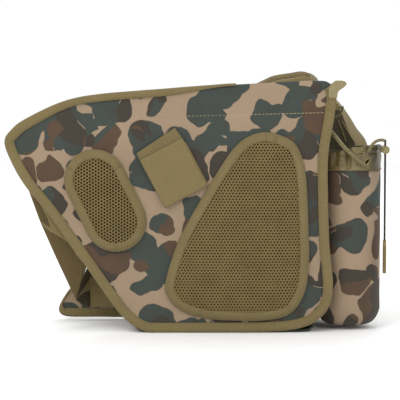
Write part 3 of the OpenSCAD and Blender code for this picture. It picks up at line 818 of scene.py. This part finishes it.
PAD_EDGE = 3.4
LUMBAR_POINTS = [[77, 213.5], [100, 206], [111, 193], [117.5, 165], [120.5, 109], [121, 75], [117, 45],
    [103, 22], [77, 14], [40, 13.5], [5, 17], [-17, 26], [-29, 40], [-30.5, 56], [-17, 98], [6, 141],
    [20, 165], [41, 196], [57, 209]]
LUMBAR = even(smooth_loop(LUMBAR_POINTS, 8), 3.2, closed=True)
OVAL = even(stadium((-105.5, 163), (-84, 119.5), 32.5, 16), 3.0, closed=True)
mesh_pad("lumbar", LUMBAR, 6.3, 30, 0.9, (0.02, 0.55))
mesh_pad("oval", OVAL, 5.4, 24, 1.08, (0.1, 0.33, 0.72), True)

# ---- keeper ----
LEAN = math.radians(27.5)
KEEPER = np.array([-21.5, PANEL_Y, 169])
ACROSS, UP = np.array([math.cos(LEAN), 0, math.sin(LEAN)]), np.array([-math.sin(LEAN), 0, math.cos(LEAN)])


def on_keeper(x, y, z):
    return KEEPER + ACROSS * x + UP * z + np.array([0, y, 0])


patch("keeper_patch_webbing", [(-22, 24, 1), (25, 24, 1), (25, -23, 1), (-22, -23, 1)], 1.6, WEBBING_SHADE,
    lambda x, z: on_keeper(x, -0.8, z), replaces=["keeper_patch"])
patch("keeper_band_webbing", [(-25.5, 38.6, 1), (23.5, 44, 1), (25.5, 28.6, 1), (-25.5, 28.6, 1)], 2.4,
    WEBBING_FOLD, lambda x, z: on_keeper(x, -1.7, z), wave=0.3, replaces=["keeper_band"])
under = patch("keeper_flap_edge", [(-24, 26, 1), (26.6, 26, 1), (26.8, -25, 1.5), (-24, -25.5, 1.5)], 0.8,
    BINDING, lambda x, z: on_keeper(x, -2.3, z), wave=0.3, body=None)
flap = patch("keeper_flap_webbing", [(-25.5, 30.5, 1), (25.5, 31, 1), (25.8, -26.6, 1.5), (-25.2, -27, 1.5)],
    2, WEBBING, lambda x, z: on_keeper(x, -3.8 + 0.3 * float(ease(-z, -30, -16)), z), wave=0.35, body=None,
    replaces=["keeper_flap"])
for piece in (under, flap):
    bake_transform(piece)

# ---- bag ----
BAG_TOP, BAG_RIGHT = 238, 131
FOOT_X, FOOT_Z = -72, 14
MOUTH_Z = high("front_panel")[2]
WALL = 2.5


def wall(name, corners, cut, sag, outside, node):
    """A side of the bag: a path in XZ, from its back edge to its front edge."""
    path = even(turned(corners, cut), 6)
    n = inward(path, False)
    n = n if n[0] @ (np.array([30, 100]) - path[0]) > 0 else -n
    d = lengths(path)
    grid = []
    for q, v, s in zip(path, n, d):
        row = []
        for t in np.linspace(0, 1, 15):
            y = BACK_Y + 0.3 + (FRONT_Y - BACK_Y - 0.3) * t
            pull = sag * math.sin(math.pi * t) * (0.75 + 0.5 * ripple(s, y, 0, 34, 2))
            pull *= math.sin(math.pi * min(max(s / d[-1], 0.03), 0.97)) ** 0.4
            pull += sag * 0.18 * (1 + ripple(s, y * 0.6, 0, 11, 4)) * math.sin(math.pi * t)
            row.append((q[0] + v[0] * pull, y, q[1] + v[1] * pull))
        grid.append(row)
    side = np.array(grid)
    out = np.cross(side[1, 0] - side[0, 0], side[0, 1] - side[0, 0])
    if out @ np.array([n[0][0], 0, n[0][1]]) > 0:
        side = side[::-1]
    shell(name, side, WALL, outside, LINING_AND_SHADE, replaces=[node])


wall("left_gusset_fabric", [(0, BAG_TOP), (FOOT_X, FOOT_Z), (-64, 5)], 6, 2.2, CAMO_SIDE, "left_gusset")
wall("base_fabric", [(-65, 6), (-58, 0), (122, 0), (127, 5)], 3, 0.3, CAMO_BASE, "base_panel")
wall("right_gusset_fabric", [(126.5, 4.5), (BAG_RIGHT, 10), (BAG_RIGHT, BAG_TOP)], 3, 1.6, CAMO_SIDE,
    "right_gusset")
left_x = FOOT_X * (BAG_TOP - MOUTH_Z) / (BAG_TOP - FOOT_Z)
front = [(left_x, MOUTH_Z, 1), (BAG_RIGHT, MOUTH_Z, 1), (BAG_RIGHT, 9, 4), (122, 0, 4), (-58, 0, 6),
    (FOOT_X, FOOT_Z, 6)]
points, faces, sides = slab(even(rounded(front), 4, closed=True), SOFT_EDGE, lambda x, z: FRONT_Y - WALL + 0.2
    * ripple(x, 0, z, 30, 6), lambda x, z: FRONT_Y - 0.25 - 0.25 * abs(ripple(x, 0, z, 22, 7)))
make("front_panel_fabric", points, faces, [LINING_AND_SHADE, CAMO], indices=sides, slot="camo",
    replaces=["front_panel"])
hem = np.array([(x, MOUTH_Z) for x in np.linspace(left_x + 1, 130, 40)])
edge_strip("front_panel_hem", hem, tape_profile(FRONT_Y - WALL, FRONT_Y, 8, 0.7), None, closed=False)
piping = [(left_x - 0.5, 196), (FOOT_X, FOOT_Z), (-58, 0.9), (122, 0.9), (130.6, 9), (130.6, 196)]
piping = np.insert(even(turned(piping, 5), 2.5), 1, FRONT_Y - 0.6, axis=1)
tube("front_seam_piping", piping, 1.1, BINDING, sides=10, ref=(0, 1, 0), slot="binding")

# ---- flap ----
FLAP_POINTS = [[3, 242, 2], [148, 242, 2], [150, 3, 14], [-160, 3, 22], [-139, 36, 9], [-100, 60, 14],
    [-50, 140, 20]]
STRIP_BACK_Z, STRIP_FRONT_Z = high("flap_top")[2], 243
leaf_mid = (LEAF_Y + LEAF_OUT_Y) / 2
profile = [[BACK_Y + 0.2, STRIP_BACK_Z - 1.2], [0, 244.2], [38, STRIP_FRONT_Z - 0.9], [46, 241.7]]
profile += [[leaf_mid - 5 + 5 * math.sin(a), 236.6 + 5 * math.cos(a)] for a in np.radians(range(15, 91, 15))]
profile += [[leaf_mid, z] for z in (228, 200, 150, 100, 50, 0)]
profile = even(np.array(profile), 1.5)
fall = lengths(profile)
turn = inward(profile, False)
FOLD_Z = 228
FOLD_S = float(np.interp(0, FOLD_Z - profile[:, 1], fall))


def flap_place(x, s, out):
    """The point of the flap at x and s, out from its middle layer."""
    y, z = np.interp(s, fall, profile[:, 0]), np.interp(s, fall, profile[:, 1])
    ny, nz = np.interp(s, fall, turn[:, 0]), np.interp(s, fall, turn[:, 1])
    return (x, y - ny * out, z - nz * out)


leaf = [(x, z - FOLD_Z - FOLD_S, cut) for x, z, cut in FLAP_POINTS[2:] + [[3, 240, 6]]]
strip = [(3, 0, 0.5), (130, 0, 0.5), (130.5, -81, 6), (147.5, -93, 4)]
flat_flap = even(rounded(strip + leaf), 4, closed=True)
points, faces, _ = slab(flat_flap, SOFT_EDGE, lambda x, s: 1.25 - 0.3 * abs(ripple(x, 0, s, 34, 9)) - 0.15
    * abs(ripple(x, 0, s, 13, 10)), lambda x, s: -1.2)
cover = make("flap_cover", [flap_place(x, -s, out) for x, out, s in points], faces, CAMO_FLAP, None,
    [(x, FOLD_S + FOLD_Z + s) for x, _, s in points], slot="camo", replaces=["flap_top", "flap_leaf"])
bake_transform(cover)
LEAF = even(rounded([(x, z, max(cut, 3)) for x, z, cut in FLAP_POINTS]), 3, closed=True)
LEAF = LEAF[::-1] if (inward(LEAF)[0] @ (np.array([40, 120]) - LEAF[0])) < 0 else LEAF
start = np.argmin(np.linalg.norm(LEAF - [148, 229.5], axis=1))
LEAF = np.roll(LEAF, -start, 0)
LEAF = LEAF[: np.argmin(np.linalg.norm(LEAF - [-1.0, 229.5], axis=1)) + 1]
slanted = 1 - 0.8 * ease(LEAF[:, 1], 8, 20) * (1 - ease(LEAF[:, 0], -118, -84)) * (LEAF[:, 0] < -84)
edge_strip("flap_leaf_binding", LEAF, tape_profile(LEAF_Y + 0.3, LEAF_OUT_Y - 0.3), "flap_binding",
    closed=False, width=slanted, body="flap")
seam = LEAF[2:-2] + inward(LEAF, False)[2:-2] * (TAPE - 1.4) * slanted[2:-2, None]
stitches("flap_leaf_seam", [(x, LEAF_OUT_Y + 0.75, z) for x, z in seam], (0, 1, 0), THREAD, body="flap")

# ---- organizer pocket under the flap ----
o_low, o_high = low("organizer_pocket"), high("organizer_pocket")
sides = (o_low[0], o_high[0])
plan = even(turned([(sides[0], o_low[1])] + [(x, o_high[1]) for x in sides] + [(sides[1], o_low[1])], 4), 3)
grid = []
for z in np.linspace(o_low[2] + 0.2, o_high[2] - 0.4, 32):
    t = (z - o_low[2]) / (o_high[2] - o_low[2])
    row = []
    for q in plan:
        face = ease(q[1], ORGANIZER_Y - 3, ORGANIZER_Y - 0.5)
        dent = 0.9 * math.sin(math.pi * t) * abs(ripple(q[0], 0, z, 40, 3)) + 0.5 * abs(ripple(q[0], 2, z, 15,
            2))
        row.append((q[0], q[1] - 0.1 - face * dent, z))
    grid.append(row)
shell("organizer_pocket_fabric", grid, 1.4, CAMO, LINING_AND_SHADE, replaces=["organizer_pocket"])
grid = [[(x, y, o_low[2] + 0.8) for y in np.linspace(o_high[1] - 0.6, o_low[1], 5)]
    for x in np.linspace(sides[0] + 0.4, sides[1] - 0.4, 24)]
shell("organizer_pocket_floor", grid, 1.2, CAMO_BASE, LINING_AND_SHADE)
z_top = high("organizer_binding")[2]
section = [(0.75, -8.5), (0.95, -8), (0.9, -1.6), (0.5, -0.5), (-0.6, -0.1), (-1.8, -0.6), (-2.2, -1.8),
    (-2.1, -8), (-1.2, -8.5), (-0.2, -3), (-0.1, -8.3)]
points = [(q[0] + v[0] * a * 0.9, q[1] + v[1] * a * 0.9, z_top + z) for q, v in zip(plan, inward(plan, False))
    for a, z in section]
uv = [(z_top + z, d) for d in lengths(plan) for _, z in section]
make("organizer_hem", points, capped(len(plan), len(section)), BINDING, uv=uv, slot="binding",
    replaces=["organizer_binding"])

# ---- zipper ----
tape_low, tape_high = low("zipper_tape"), high("zipper_tape")
coil_low, coil_high = low("zipper_coil"), high("zipper_coil")
zip_y, zip_z = (coil_low + coil_high)[1:] / 2
tape_y = (tape_low[1] + tape_high[1]) / 2
for side, z0, z1 in (("lower", tape_low[2], zip_z - 0.35), ("upper", zip_z + 0.35, tape_high[2])):
    corners = [(tape_low[0], z1, 0.5), (tape_high[0], z1, 0.5), (tape_high[0], z0, 2), (tape_low[0], z0, 2)]
    patch("zipper_tape_" + side, corners, 0.8, BINDING, lambda x, z: tape_y, step=4, uv_turn=True,
        body="flap", slot="binding", replaces=["zipper_tape"])
points, faces = [], []
for i, x in enumerate(np.arange(coil_low[0] + 0.6, coil_high[0] - 0.4, 0.8)):
    side = 1 if i % 2 else -1
    faces += capped(5, 6, len(points))
    for z, r in ((0.3, 0.5), (-0.4, 0.62), (-1.2, 0.5), (-2.8, 0.5), (-2.9, 0.3)):
        for a in np.radians(range(0, 360, 60)):
            points.append((x + r * 0.9 * math.cos(a), zip_y + 1.1 * r * math.sin(a), zip_z + side * z))
make("zipper_teeth", points, faces, METAL, "flap", slot="zip", replaces=["zipper_coil"])
for side, dz in (("low", -9.5), ("high", 9.5)):
    line = [(x, tape_high[1] + 0.05, zip_z + dz) for x in np.linspace(-7, 127, 60)]
    stitches("zipper_seam_" + side, line, (0, 1, 0), THREAD, body="flap")

# ---- bottle pocket ----
FLOOR_Z, SEAM_Z = low("bottle_pocket")[2], high("bottle_pocket")[2]
COLLAR_Z = high("pocket_collar")[2]


def around_pocket(angle, r, z):
    return (AXIS[0] + r * math.cos(angle), AXIS[1] + r * math.sin(angle), z)


def pocket_radius(angle, z):
    c, s = math.cos(angle) * 30, math.sin(angle) * 30
    folds = 0.35 * ripple(c, s, z, 22, 2) + 0.25 * ripple(c * 1.6, s * 1.6, z * 0.5, 12, 3)
    near_seam = math.exp(-(((z - SEAM_Z) / 9) ** 2)) + math.exp(-(((z - FLOOR_Z - 8) / 9) ** 2))
    folds += near_seam * 0.5 * ripple(c * 2.2, s * 2.2, z * 0.3, 9, 7)
    return POCKET_R - 0.15 + folds


def turns(n):
    return [-2 * math.pi * i / n for i in range(n)]


angles = turns(120)
grid = []
for r, z in ((6, 0), (14, 0), (20, 0.1), (24, 1), (28, 3.5), (31.2, 7.5), (33.5, 12.5)):
    dents = [0.5 * ripple(30 * math.cos(a), 30 * math.sin(a), 0, 8, 4) * r / 35 for a in angles]
    grid.append([around_pocket(a, r + dent, FLOOR_Z + z) for a, dent in zip(angles, dents)])
for z in np.linspace(FLOOR_Z + 17, SEAM_Z - 0.5, 44):
    grid.append([around_pocket(a, pocket_radius(a, z), z) for a in angles])
shell("bottle_pocket_fabric", grid, 1.4, CAMO_POCKET, LINING_AND_SHADE, wrap=True, replaces=["bottle_pocket"])
grid = [[around_pocket(a, r, FLOOR_Z + 1.2) for a in angles] for r in (0.6, 8)]
shell("bottle_pocket_floor", grid, 0.8, CAMO_POCKET, LINING_AND_SHADE, wrap=True)


def bearing(x, y):
    return math.atan2(y - AXIS[1], x - AXIS[0])


def crease(angle, x, y, wide):
    """1 at the collar's side that faces x and y, fading over wide radians."""
    away = math.remainder(angle - bearing(x, y), 2 * math.pi)
    return math.exp(-((away / wide) ** 2))


def collar_radius(angle, z):
    t = (z - SEAM_Z) / (COLLAR_Z - SEAM_Z)
    c, s = math.cos(angle) * 30, math.sin(angle) * 30
    gather = 0.2 + 0.8 * ease(t, 0.05, 0.6)
    folds = 1.5 * ripple(c * 1.3, s * 1.3, z * 0.35, 10, 3) + 0.7 * ripple(c * 2.6, s * 2.6, z * 0.5, 8, 6)
    folds += 2.3 * crease(angle, 156, -40, 0.13) + 1.8 * crease(angle, 169, -42, 0.1)
    folds -= 1.6 * crease(angle, 150, -36, 0.1)
    hem = 0.6 * math.exp(-(((t - 0.86) / 0.1) ** 2)) - 0.5 * math.exp(-(((t - 0.68) / 0.05) ** 2))
    pleat = 4.2 * crease(angle, 163.5, -42, 0.055) * ease(t, -0.05, 0.25)
    return POCKET_R + gather * folds - pleat + hem + 0.6 * math.exp(-((t / 0.06) ** 2))


def collar_rim(angle):
    wave = 1.2 * ripple(30 * math.cos(angle), 30 * math.sin(angle), 0, 9, 9)
    low_part = 3.8 * crease(angle, 149, -35, 0.36)
    return COLLAR_Z - 1 + wave - low_part + 2.6 * crease(angle, 180, -36, 0.5) + 3.4 * crease(angle, 197, -22,
        0.4)


grid = []
for t in np.linspace(0, 1, 30):
    level = SEAM_Z + (COLLAR_Z - SEAM_Z) * t
    grid.append([around_pocket(a, collar_radius(a, level), SEAM_Z + (collar_rim(a) - SEAM_Z) * t)
        for a in turns(180)])
shell("pocket_collar_fabric", grid, 1.3, NYLON, LINING_AND_SHADE, wrap=True, slot="nylon", replaces=["pocket_collar"])


def on_collar(angle, z, out=0.0):
    return np.array(around_pocket(angle, collar_radius(angle, z) + out, z))


def eyelet(name, angle, z, long, wide, tilt):
    """A slit in the collar with a sewn rim; the slit is a dark disc painted as the shade inside it."""
    c, s = math.cos(tilt), math.sin(tilt)
    ring = [(math.cos(t) * long / 2, math.sin(t) * wide / 2) for t in np.radians(range(0, 360, 20))]
    flat = [(a * c - b * s, a * s + b * c) for a, b in ring]
    outer = [on_collar(angle + a / POCKET_R, z + b, 0.25) for a, b in flat]
    inner = [on_collar(angle + a / POCKET_R, z + b, -0.6) for a, b in flat]
    points = outer + inner + [on_collar(angle, z, 0.3), on_collar(angle, z, -0.6)]
    n = len(ring)
    faces = [(i, (i + 1) % n, 2 * n) for i in range(n)] + [(n + i, n + (i + 1) % n, 2 * n + 1)
        for i in range(n)]
    faces += [(i, (i + 1) % n, n + (i + 1) % n, n + i) for i in range(n)]
    make(name + "_slit", points, faces, NET_HOLE_SHADE, slot="nylon")
    rim = [on_collar(angle + a * 1.25 / POCKET_R, z + b * 1.5, 0.35) for a, b in flat]
    tube(name + "_rim", np.array(rim + rim[:1]), 0.7, THREAD, sides=8, ref=(0.2, 1, 0.1), slot="nylon")


eyelet("cinch_eyelet", bearing(183.2, -36.2), 181.6, 7.5, 3.2, math.radians(40))
eyelet("collar_slit", bearing(176.4, -39.0), 190.6, 7, 1.6, math.radians(6))
lip = [on_collar(a, SEAM_Z + 0.6, -0.3) for a in angles + [-2 * math.pi]]
tube("pocket_seam", np.array(lip), 0.6, WEBBING_SHADE, sides=8, slot="binding")

# ---- shoulder pad ----
PAD_COURSE = [[-172, 194, 90, 44], [-150, 206, 90, 48], [-125, 216, 88, 50], [-100, 224, 75, 50],
    [-75, 230, 58, 50], [-50, 237, 38, 50], [-25, 244.5, 18, 50], [0, 251.5, 4, 50], [30, 252.5, 0, 50],
    [60, 257.5, 0, 50], [76, 264, 0, 48], [86, 268.4, 0, 47], [104, 271.4, 0, 45], [117, 272.8, 0, 40],
    [131, 266.4, 0, 30]]
PAD_T = 9
PAD_LEAN = 7
course = smooth_path(PAD_COURSE, 8)
bend = np.radians(course[:, 2])
pad_path = np.column_stack([course[:, 0], BACK_Y + 0.4 + 25 * np.cos(bend) + PAD_T / 2 * np.sin(bend),
    course[:, 1]])
pad_side = np.column_stack([-0.35 * np.sin(bend), -np.cos(bend), 0.94 * np.sin(bend)])
pad_side = frames(pad_path, pad_side)[1]
pad_up = np.cross(tangents(pad_path, False), pad_side)
pad_up *= np.sign(pad_up[-8, 2])
pad_along = lengths(pad_path)
PAD_LONG = pad_along[-1]


def on_pad(s, v, h):
    """Points of the shoulder pad: s along it, v of its half width across, h up."""
    p, a, b = (np.column_stack([np.interp(s, pad_along, w[:, k]) for k in range(3)])
        for w in (pad_path, pad_side, pad_up))
    half = np.interp(s, pad_along, course[:, 3]) / 2
    lean = PAD_LEAN * ease(p[:, 0], 30, 80) * ((np.array(v) + 1) / 2) ** 4
    return p + a * (v * half)[:, None] + b * np.array(h)[:, None] - lean[:, None] * np.array([0, 0, 1])


def pad_rise(s, v):
    ends = np.minimum(s, PAD_LONG - s)
    return PAD_T / 2 * (0.62 + 0.38 * np.sqrt(np.maximum(0, 1 - np.abs(v) ** 2.6))) * (0.7 + 0.3
        * ease(ends, 0, 9))


columns = np.linspace(-1, 1, 17)
rows = np.linspace(0, PAD_LONG, 110)
s_at, v_at = (w.ravel() for w in np.meshgrid(rows, columns, indexing="ij"))
rise = pad_rise(s_at, v_at)
points = np.vstack([on_pad(s_at, v_at * 0.985, rise - 1.6), on_pad(s_at, v_at * 0.985, -rise)])
m, k = len(rows), len(columns)
faces = two_sided(m, k)
face_count = (m - 1) * (k - 1)
# The core's top under the net is painted shade seen through the holes; its underside is the webbing colour
# darkened as painted shade.
core = make("shoulder_pad_core", points, faces, [NET_HOLE_SHADE, WEBBING_SHADE], slot="mesh",
    replaces=["shoulder_pad"], indices=[0] * face_count + [1] * (len(faces) - face_count))
pitch = 3.4
cells = [c for c in lattice((4, -25), (PAD_LONG - 4, 25), pitch)
    if abs(c[1]) < np.interp(c[0], pad_along, course[:, 3]) / 2 - 3.2]


def pad_place(u, v, h):
    across = v / (np.interp(u, pad_along, course[:, 3]) / 2)
    return on_pad(u, across, pad_rise(u, across) + h)


net("shoulder_pad_mesh", cells, pad_place, pitch, 1.1, 1.5, walls=NET_HOLE_SHADE)
section = [(-3.9, 1.0, 0), (-3.6, 1.0, 0.7), (-2.2, 1, 0.85), (-0.8, 0.95, 0.7), (0.5, 0.6, 0.3), (0.9, 0, 0),
    (0.5, -0.6, -0.3), (-0.8, -0.95, -0.7), (-2.2, -1, -0.85), (-3.6, -1, -0.7), (-3.7, -1.0, 0.3),
    (-1.2, -0.6, 0.2), (-1, 0.6, -0.2)]
rim = [(s, -1) for s in np.linspace(0, PAD_LONG, 120)] + [(PAD_LONG, v) for v in np.linspace(-0.9, 0.9, 12)]
rim += [(s, 1) for s in np.linspace(PAD_LONG, 0, 120)] + [(0, v) for v in np.linspace(0.9, -0.9, 12)]
spots, uv = [], []
for s, v in rim:
    half = np.interp(s, pad_along, course[:, 3]) / 2
    for k, (out, level, lift) in enumerate(section):
        side = abs(v) == 1
        across = v * (1 + out / half) if side else v
        down = s if side else s + (3 * out if s > 1 else -out)
        down = min(max(down, 0.0), PAD_LONG)
        spots.append((down, across, level * pad_rise(down, min(max(across, -1), 1)) + lift))
        uv.append((k * 1.3, s if side else v * half))
spots = np.array(spots, float)
faces = grid_faces(len(rim), len(section), wrap_rows=True, wrap_cols=True)
make("shoulder_pad_binding", on_pad(*spots.T), faces, BINDING, uv=uv, slot="binding")

# ---- straps ----
WEBBING_ROUTE = [[113, -34, 266.2], [113, -18, 266.2], [113.5, -5, 264.5], [115.5, 8, 261.5], [121, 20, 259],
    [131, 29, 256.5], [142, 35, 251], [152.5, 40.5, 245.5], [161, 43, 235], [168, 43.8, 223],
    [174.5, 44, 211], [183, 44, 196.5], [182, 42.5, 178], [170, 40, 160], [160.5, 37.6, 143],
    [160, 37.4, 112], [160, 37.4, 80], [160, 37.4, 52]]
WEBBING_HINTS = [[-1, 0, 0], [-1, 0, 0], [-1, 0.05, 0.25], [-0.85, 0.2, 0.8], [-0.5, 0.5, 1],
    [-0.2, 0.8, 0.8], [0, 1, 0.5], [0, 1, 0.3], [0.2, 0.97, 0.2], [0.32, 0.93, 0.22], [0.38, 0.9, 0.22],
    [0.6, 0.78, 0.1], [0.85, 0.5, 0], [0.97, 0.2, 0], [1, 0, 0], [1, 0, 0], [1, 0, 0], [1, 0, 0]]
ribbon("shoulder_strap_webbing", WEBBING_ROUTE, WEBBING_HINTS, 25, 1.8, WEBBING, slot="webbing",
    replaces=["shoulder_webbing"])
STRAP_FALL = 0.336


def hanging(x, z):
    """The side strap leans back as it hangs from the wing to its fold."""
    return -43.5 + STRAP_FALL * (171 - z) + 0.5 * ripple(x, 0, z, 30, 5)


def turned_back(x):
    """How far back the strap is once it has turned at its lowest corner and runs to its anchor."""
    return 4.2 + min(x + 131, 15.4)


def in_the_fold(x, z):
    """The inside of the fold, between the hanging part's edge and the edge that has turned back."""
    left = np.interp(z, [28, 49.6, 66], [-130.9, -124.2, -116.4])
    right = np.interp(z, [28, 42.2, 66], [-130.5, -121, -105.7])
    part = min(max((x - left) / (right - left), 0.0), 1.0)
    return (1 - part) * hanging(x, z) + part * turned_back(x)


# The hanging strap is painted in the shaded webbing colour and its folded-over part in the plain webbing, as
# its shaded and lit faces. The bend and inner pieces are dark sheets in the lining colour: painted shade
# inside the fold.
SIDE_STRAP = {"webbing": (1.8, WEBBING_SHADE, hanging, [(-183.8, 171.2, 1), (-151.9, 168, 1),
    (-119.7, 96.1, 1), (-117.3, 65.5, 3), (-123.1, 51.8, 3), (-129.1, 31.1, 0.5), (-130.4, 27.6, 0.5),
    (-151.6, 78.8, 8), (-166.4, 116.3, 8)]), "fold": (1.6, WEBBING, lambda x, z: -42.6 + 0.4
    * ripple(x, 2, z, 26, 2), [(-176.3, 149.4, 0.5), (-169, 156.2, 1), (-133.1, 107.1, 1), (-111.9, 74.9, 1),
    (-115.2, 69.5, 1), (-125.8, 81.3, 3), (-134.4, 95.4, 3), (-144.7, 102.6, 4), (-153.8, 107.2, 3),
    (-161, 113.2, 3), (-165.4, 119.4, 0.5), (-160.2, 116.2, 2), (-153.9, 111.2, 1.5), (-156.9, 122, 2),
    (-166.1, 139.3, 2)]), "return": (1.6, WEBBING, lambda x, z: turned_back(x),
    [(-111.7, 58.2, 1), (-103.5, 41.6, 2), (-115.5, 36.9, 5), (-124.9, 33.8, 5), (-129.4, 27.9, 0.6),
    (-130, 30.6, 0.6), (-121.6, 42.7, 3)]), "bend": (1.6, LINING_AND_SHADE, lambda x, z: 0.7 + turned_back(x),
    [(-130.9, 28.3, 0.5), (-127.6, 31.6, 0.5), (-121, 36.4, 0.5), (-115.6, 38.8, 0.5), (-115.6, 17.4, 0.5),
    (-122.5, 19.6, 4)]), "anchor": (1.8, WEBBING, lambda x, z: 21.5 - 0.03 * (x + 116),
    [(-116.4, 43.3, 0.5), (-67.5, 50, 0.5), (-67.5, 20, 0.5), (-116.4, 17.2, 0.5)]),
    "hem": (0.9, WEBBING, lambda x, z: 19.6, [(-101.1, 41.8, 0.4), (-98.2, 42.5, 0.4), (-90.4, 21.8, 0.4),
    (-92.6, 21.0, 0.4)]), "inner": (1.4, LINING_AND_SHADE, in_the_fold,
    [(-116.4, 66, 0.6), (-110.4, 58, 0.6), (-121, 42.2, 0.6), (-129, 29.6, 0.6), (-130, 31.5, 0.6),
    (-124.8, 48, 0.6), (-122.8, 53.2, 0.6)])}
for part, (thick, material, on, corners) in SIDE_STRAP.items():
    patch("side_strap_" + part, corners, thick, material, on, replaces=["side_strap"] if part == "webbing"
        else [])
# The yoke is camo fabric in shadow, painted in the dark lining colour as shade.
YOKE = [(131, 237, 1), (158.5, 237, 1), (162.4, 228.8, 1), (169.8, 209.6, 1), (177, 196.9, 1), (175, 188, 1),
    (131, 188, 1)]
patch("pocket_yoke_fabric", YOKE, 1.2, LINING_AND_SHADE, lambda x, z: 31.6 + 0.6 * ripple(x, 0, z, 14, 3), slot="camo")
YOKE_LINES = (((157.5, 223.7), (162, 211), (166.3, 199.6)), ((161.2, 223), (168, 211.6), (173.9, 201.5)))
for i, edge in enumerate(YOKE_LINES):
    tube(f"pocket_yoke_piping_{i + 1}", smooth_path([(x, 30.6, z) for x, z in edge], 6), 0.8, WEBBING,
        sides=8, ref=(0, 1, 0), slot="binding")

# ---- hard parts and small trim keep their frame shapes ----
FINISHES = ((METAL, {"d_ring": 0, "zipper_slider": 0.35, "zipper_pull": 0.4, "zipper_stops": 0.3}),
    (PLASTIC, {"buckle_female": 0.9, "buckle_male": 0.6, "strap_slider": 0.9}),
    (LOCK_PLASTIC, {"lock_barrel": 0.6, "lock_plunger": 0.7}),
    (HOOKS, {"hook_strip": 0.3, "loop_strip": 0.3}), (BINDING, {"anchor_tab": 0.3, "d_ring_tab": 0.3}))
for material, bevels in FINISHES:
    for node, bevel in bevels.items():
        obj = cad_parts[node]
        for part in obj.material_slots:
            part.material = material
        if not obj.material_slots:
            obj.data.materials.append(material)
        if bevel:
            m = obj.modifiers.new("Bevel", "BEVEL")
            m.width, m.segments, m.limit_method, m.angle_limit = bevel * MM, 2, "ANGLE", math.radians(40)

# ---- floor, light and view ----
bpy.ops.mesh.primitive_plane_add(size=6, location=(0, 0, 0))
floor = bpy.context.object
floor.name = "floor"
floor.data.materials.append(plain("floor_paper", (250, 250, 250), (247, 247, 247), 4, 0.9, 0.1, bump=0.02))


def area_light(name, place, size, energy):
    light = bpy.data.objects.new(name, bpy.data.lights.new(name, "AREA"))
    light.data.shape, light.data.size, light.data.energy = "SQUARE", size, energy
    light.location = place
    light.rotation_euler = (Vector((0, 0, 0.12)) - Vector(place)).to_track_quat("-Z", "Y").to_euler()
    bpy.context.scene.collection.objects.link(light)


area_light("key", (-0.9, -1.6, 1.7), 1.2, 20)
area_light("fill", (1.5, -1.5, 0.9), 1.4, 5)
area_light("rim", (0.4, 1.6, 1.6), 1.2, 9)
world = bpy.data.worlds.new("studio")
bpy.context.scene.world = world
world.use_nodes = True
world.node_tree.nodes["Background"].inputs[0].default_value = (1, 1, 1, 1)
world.node_tree.nodes["Background"].inputs[1].default_value = 1.0
bpy.context.scene.view_settings.view_transform = "Standard"
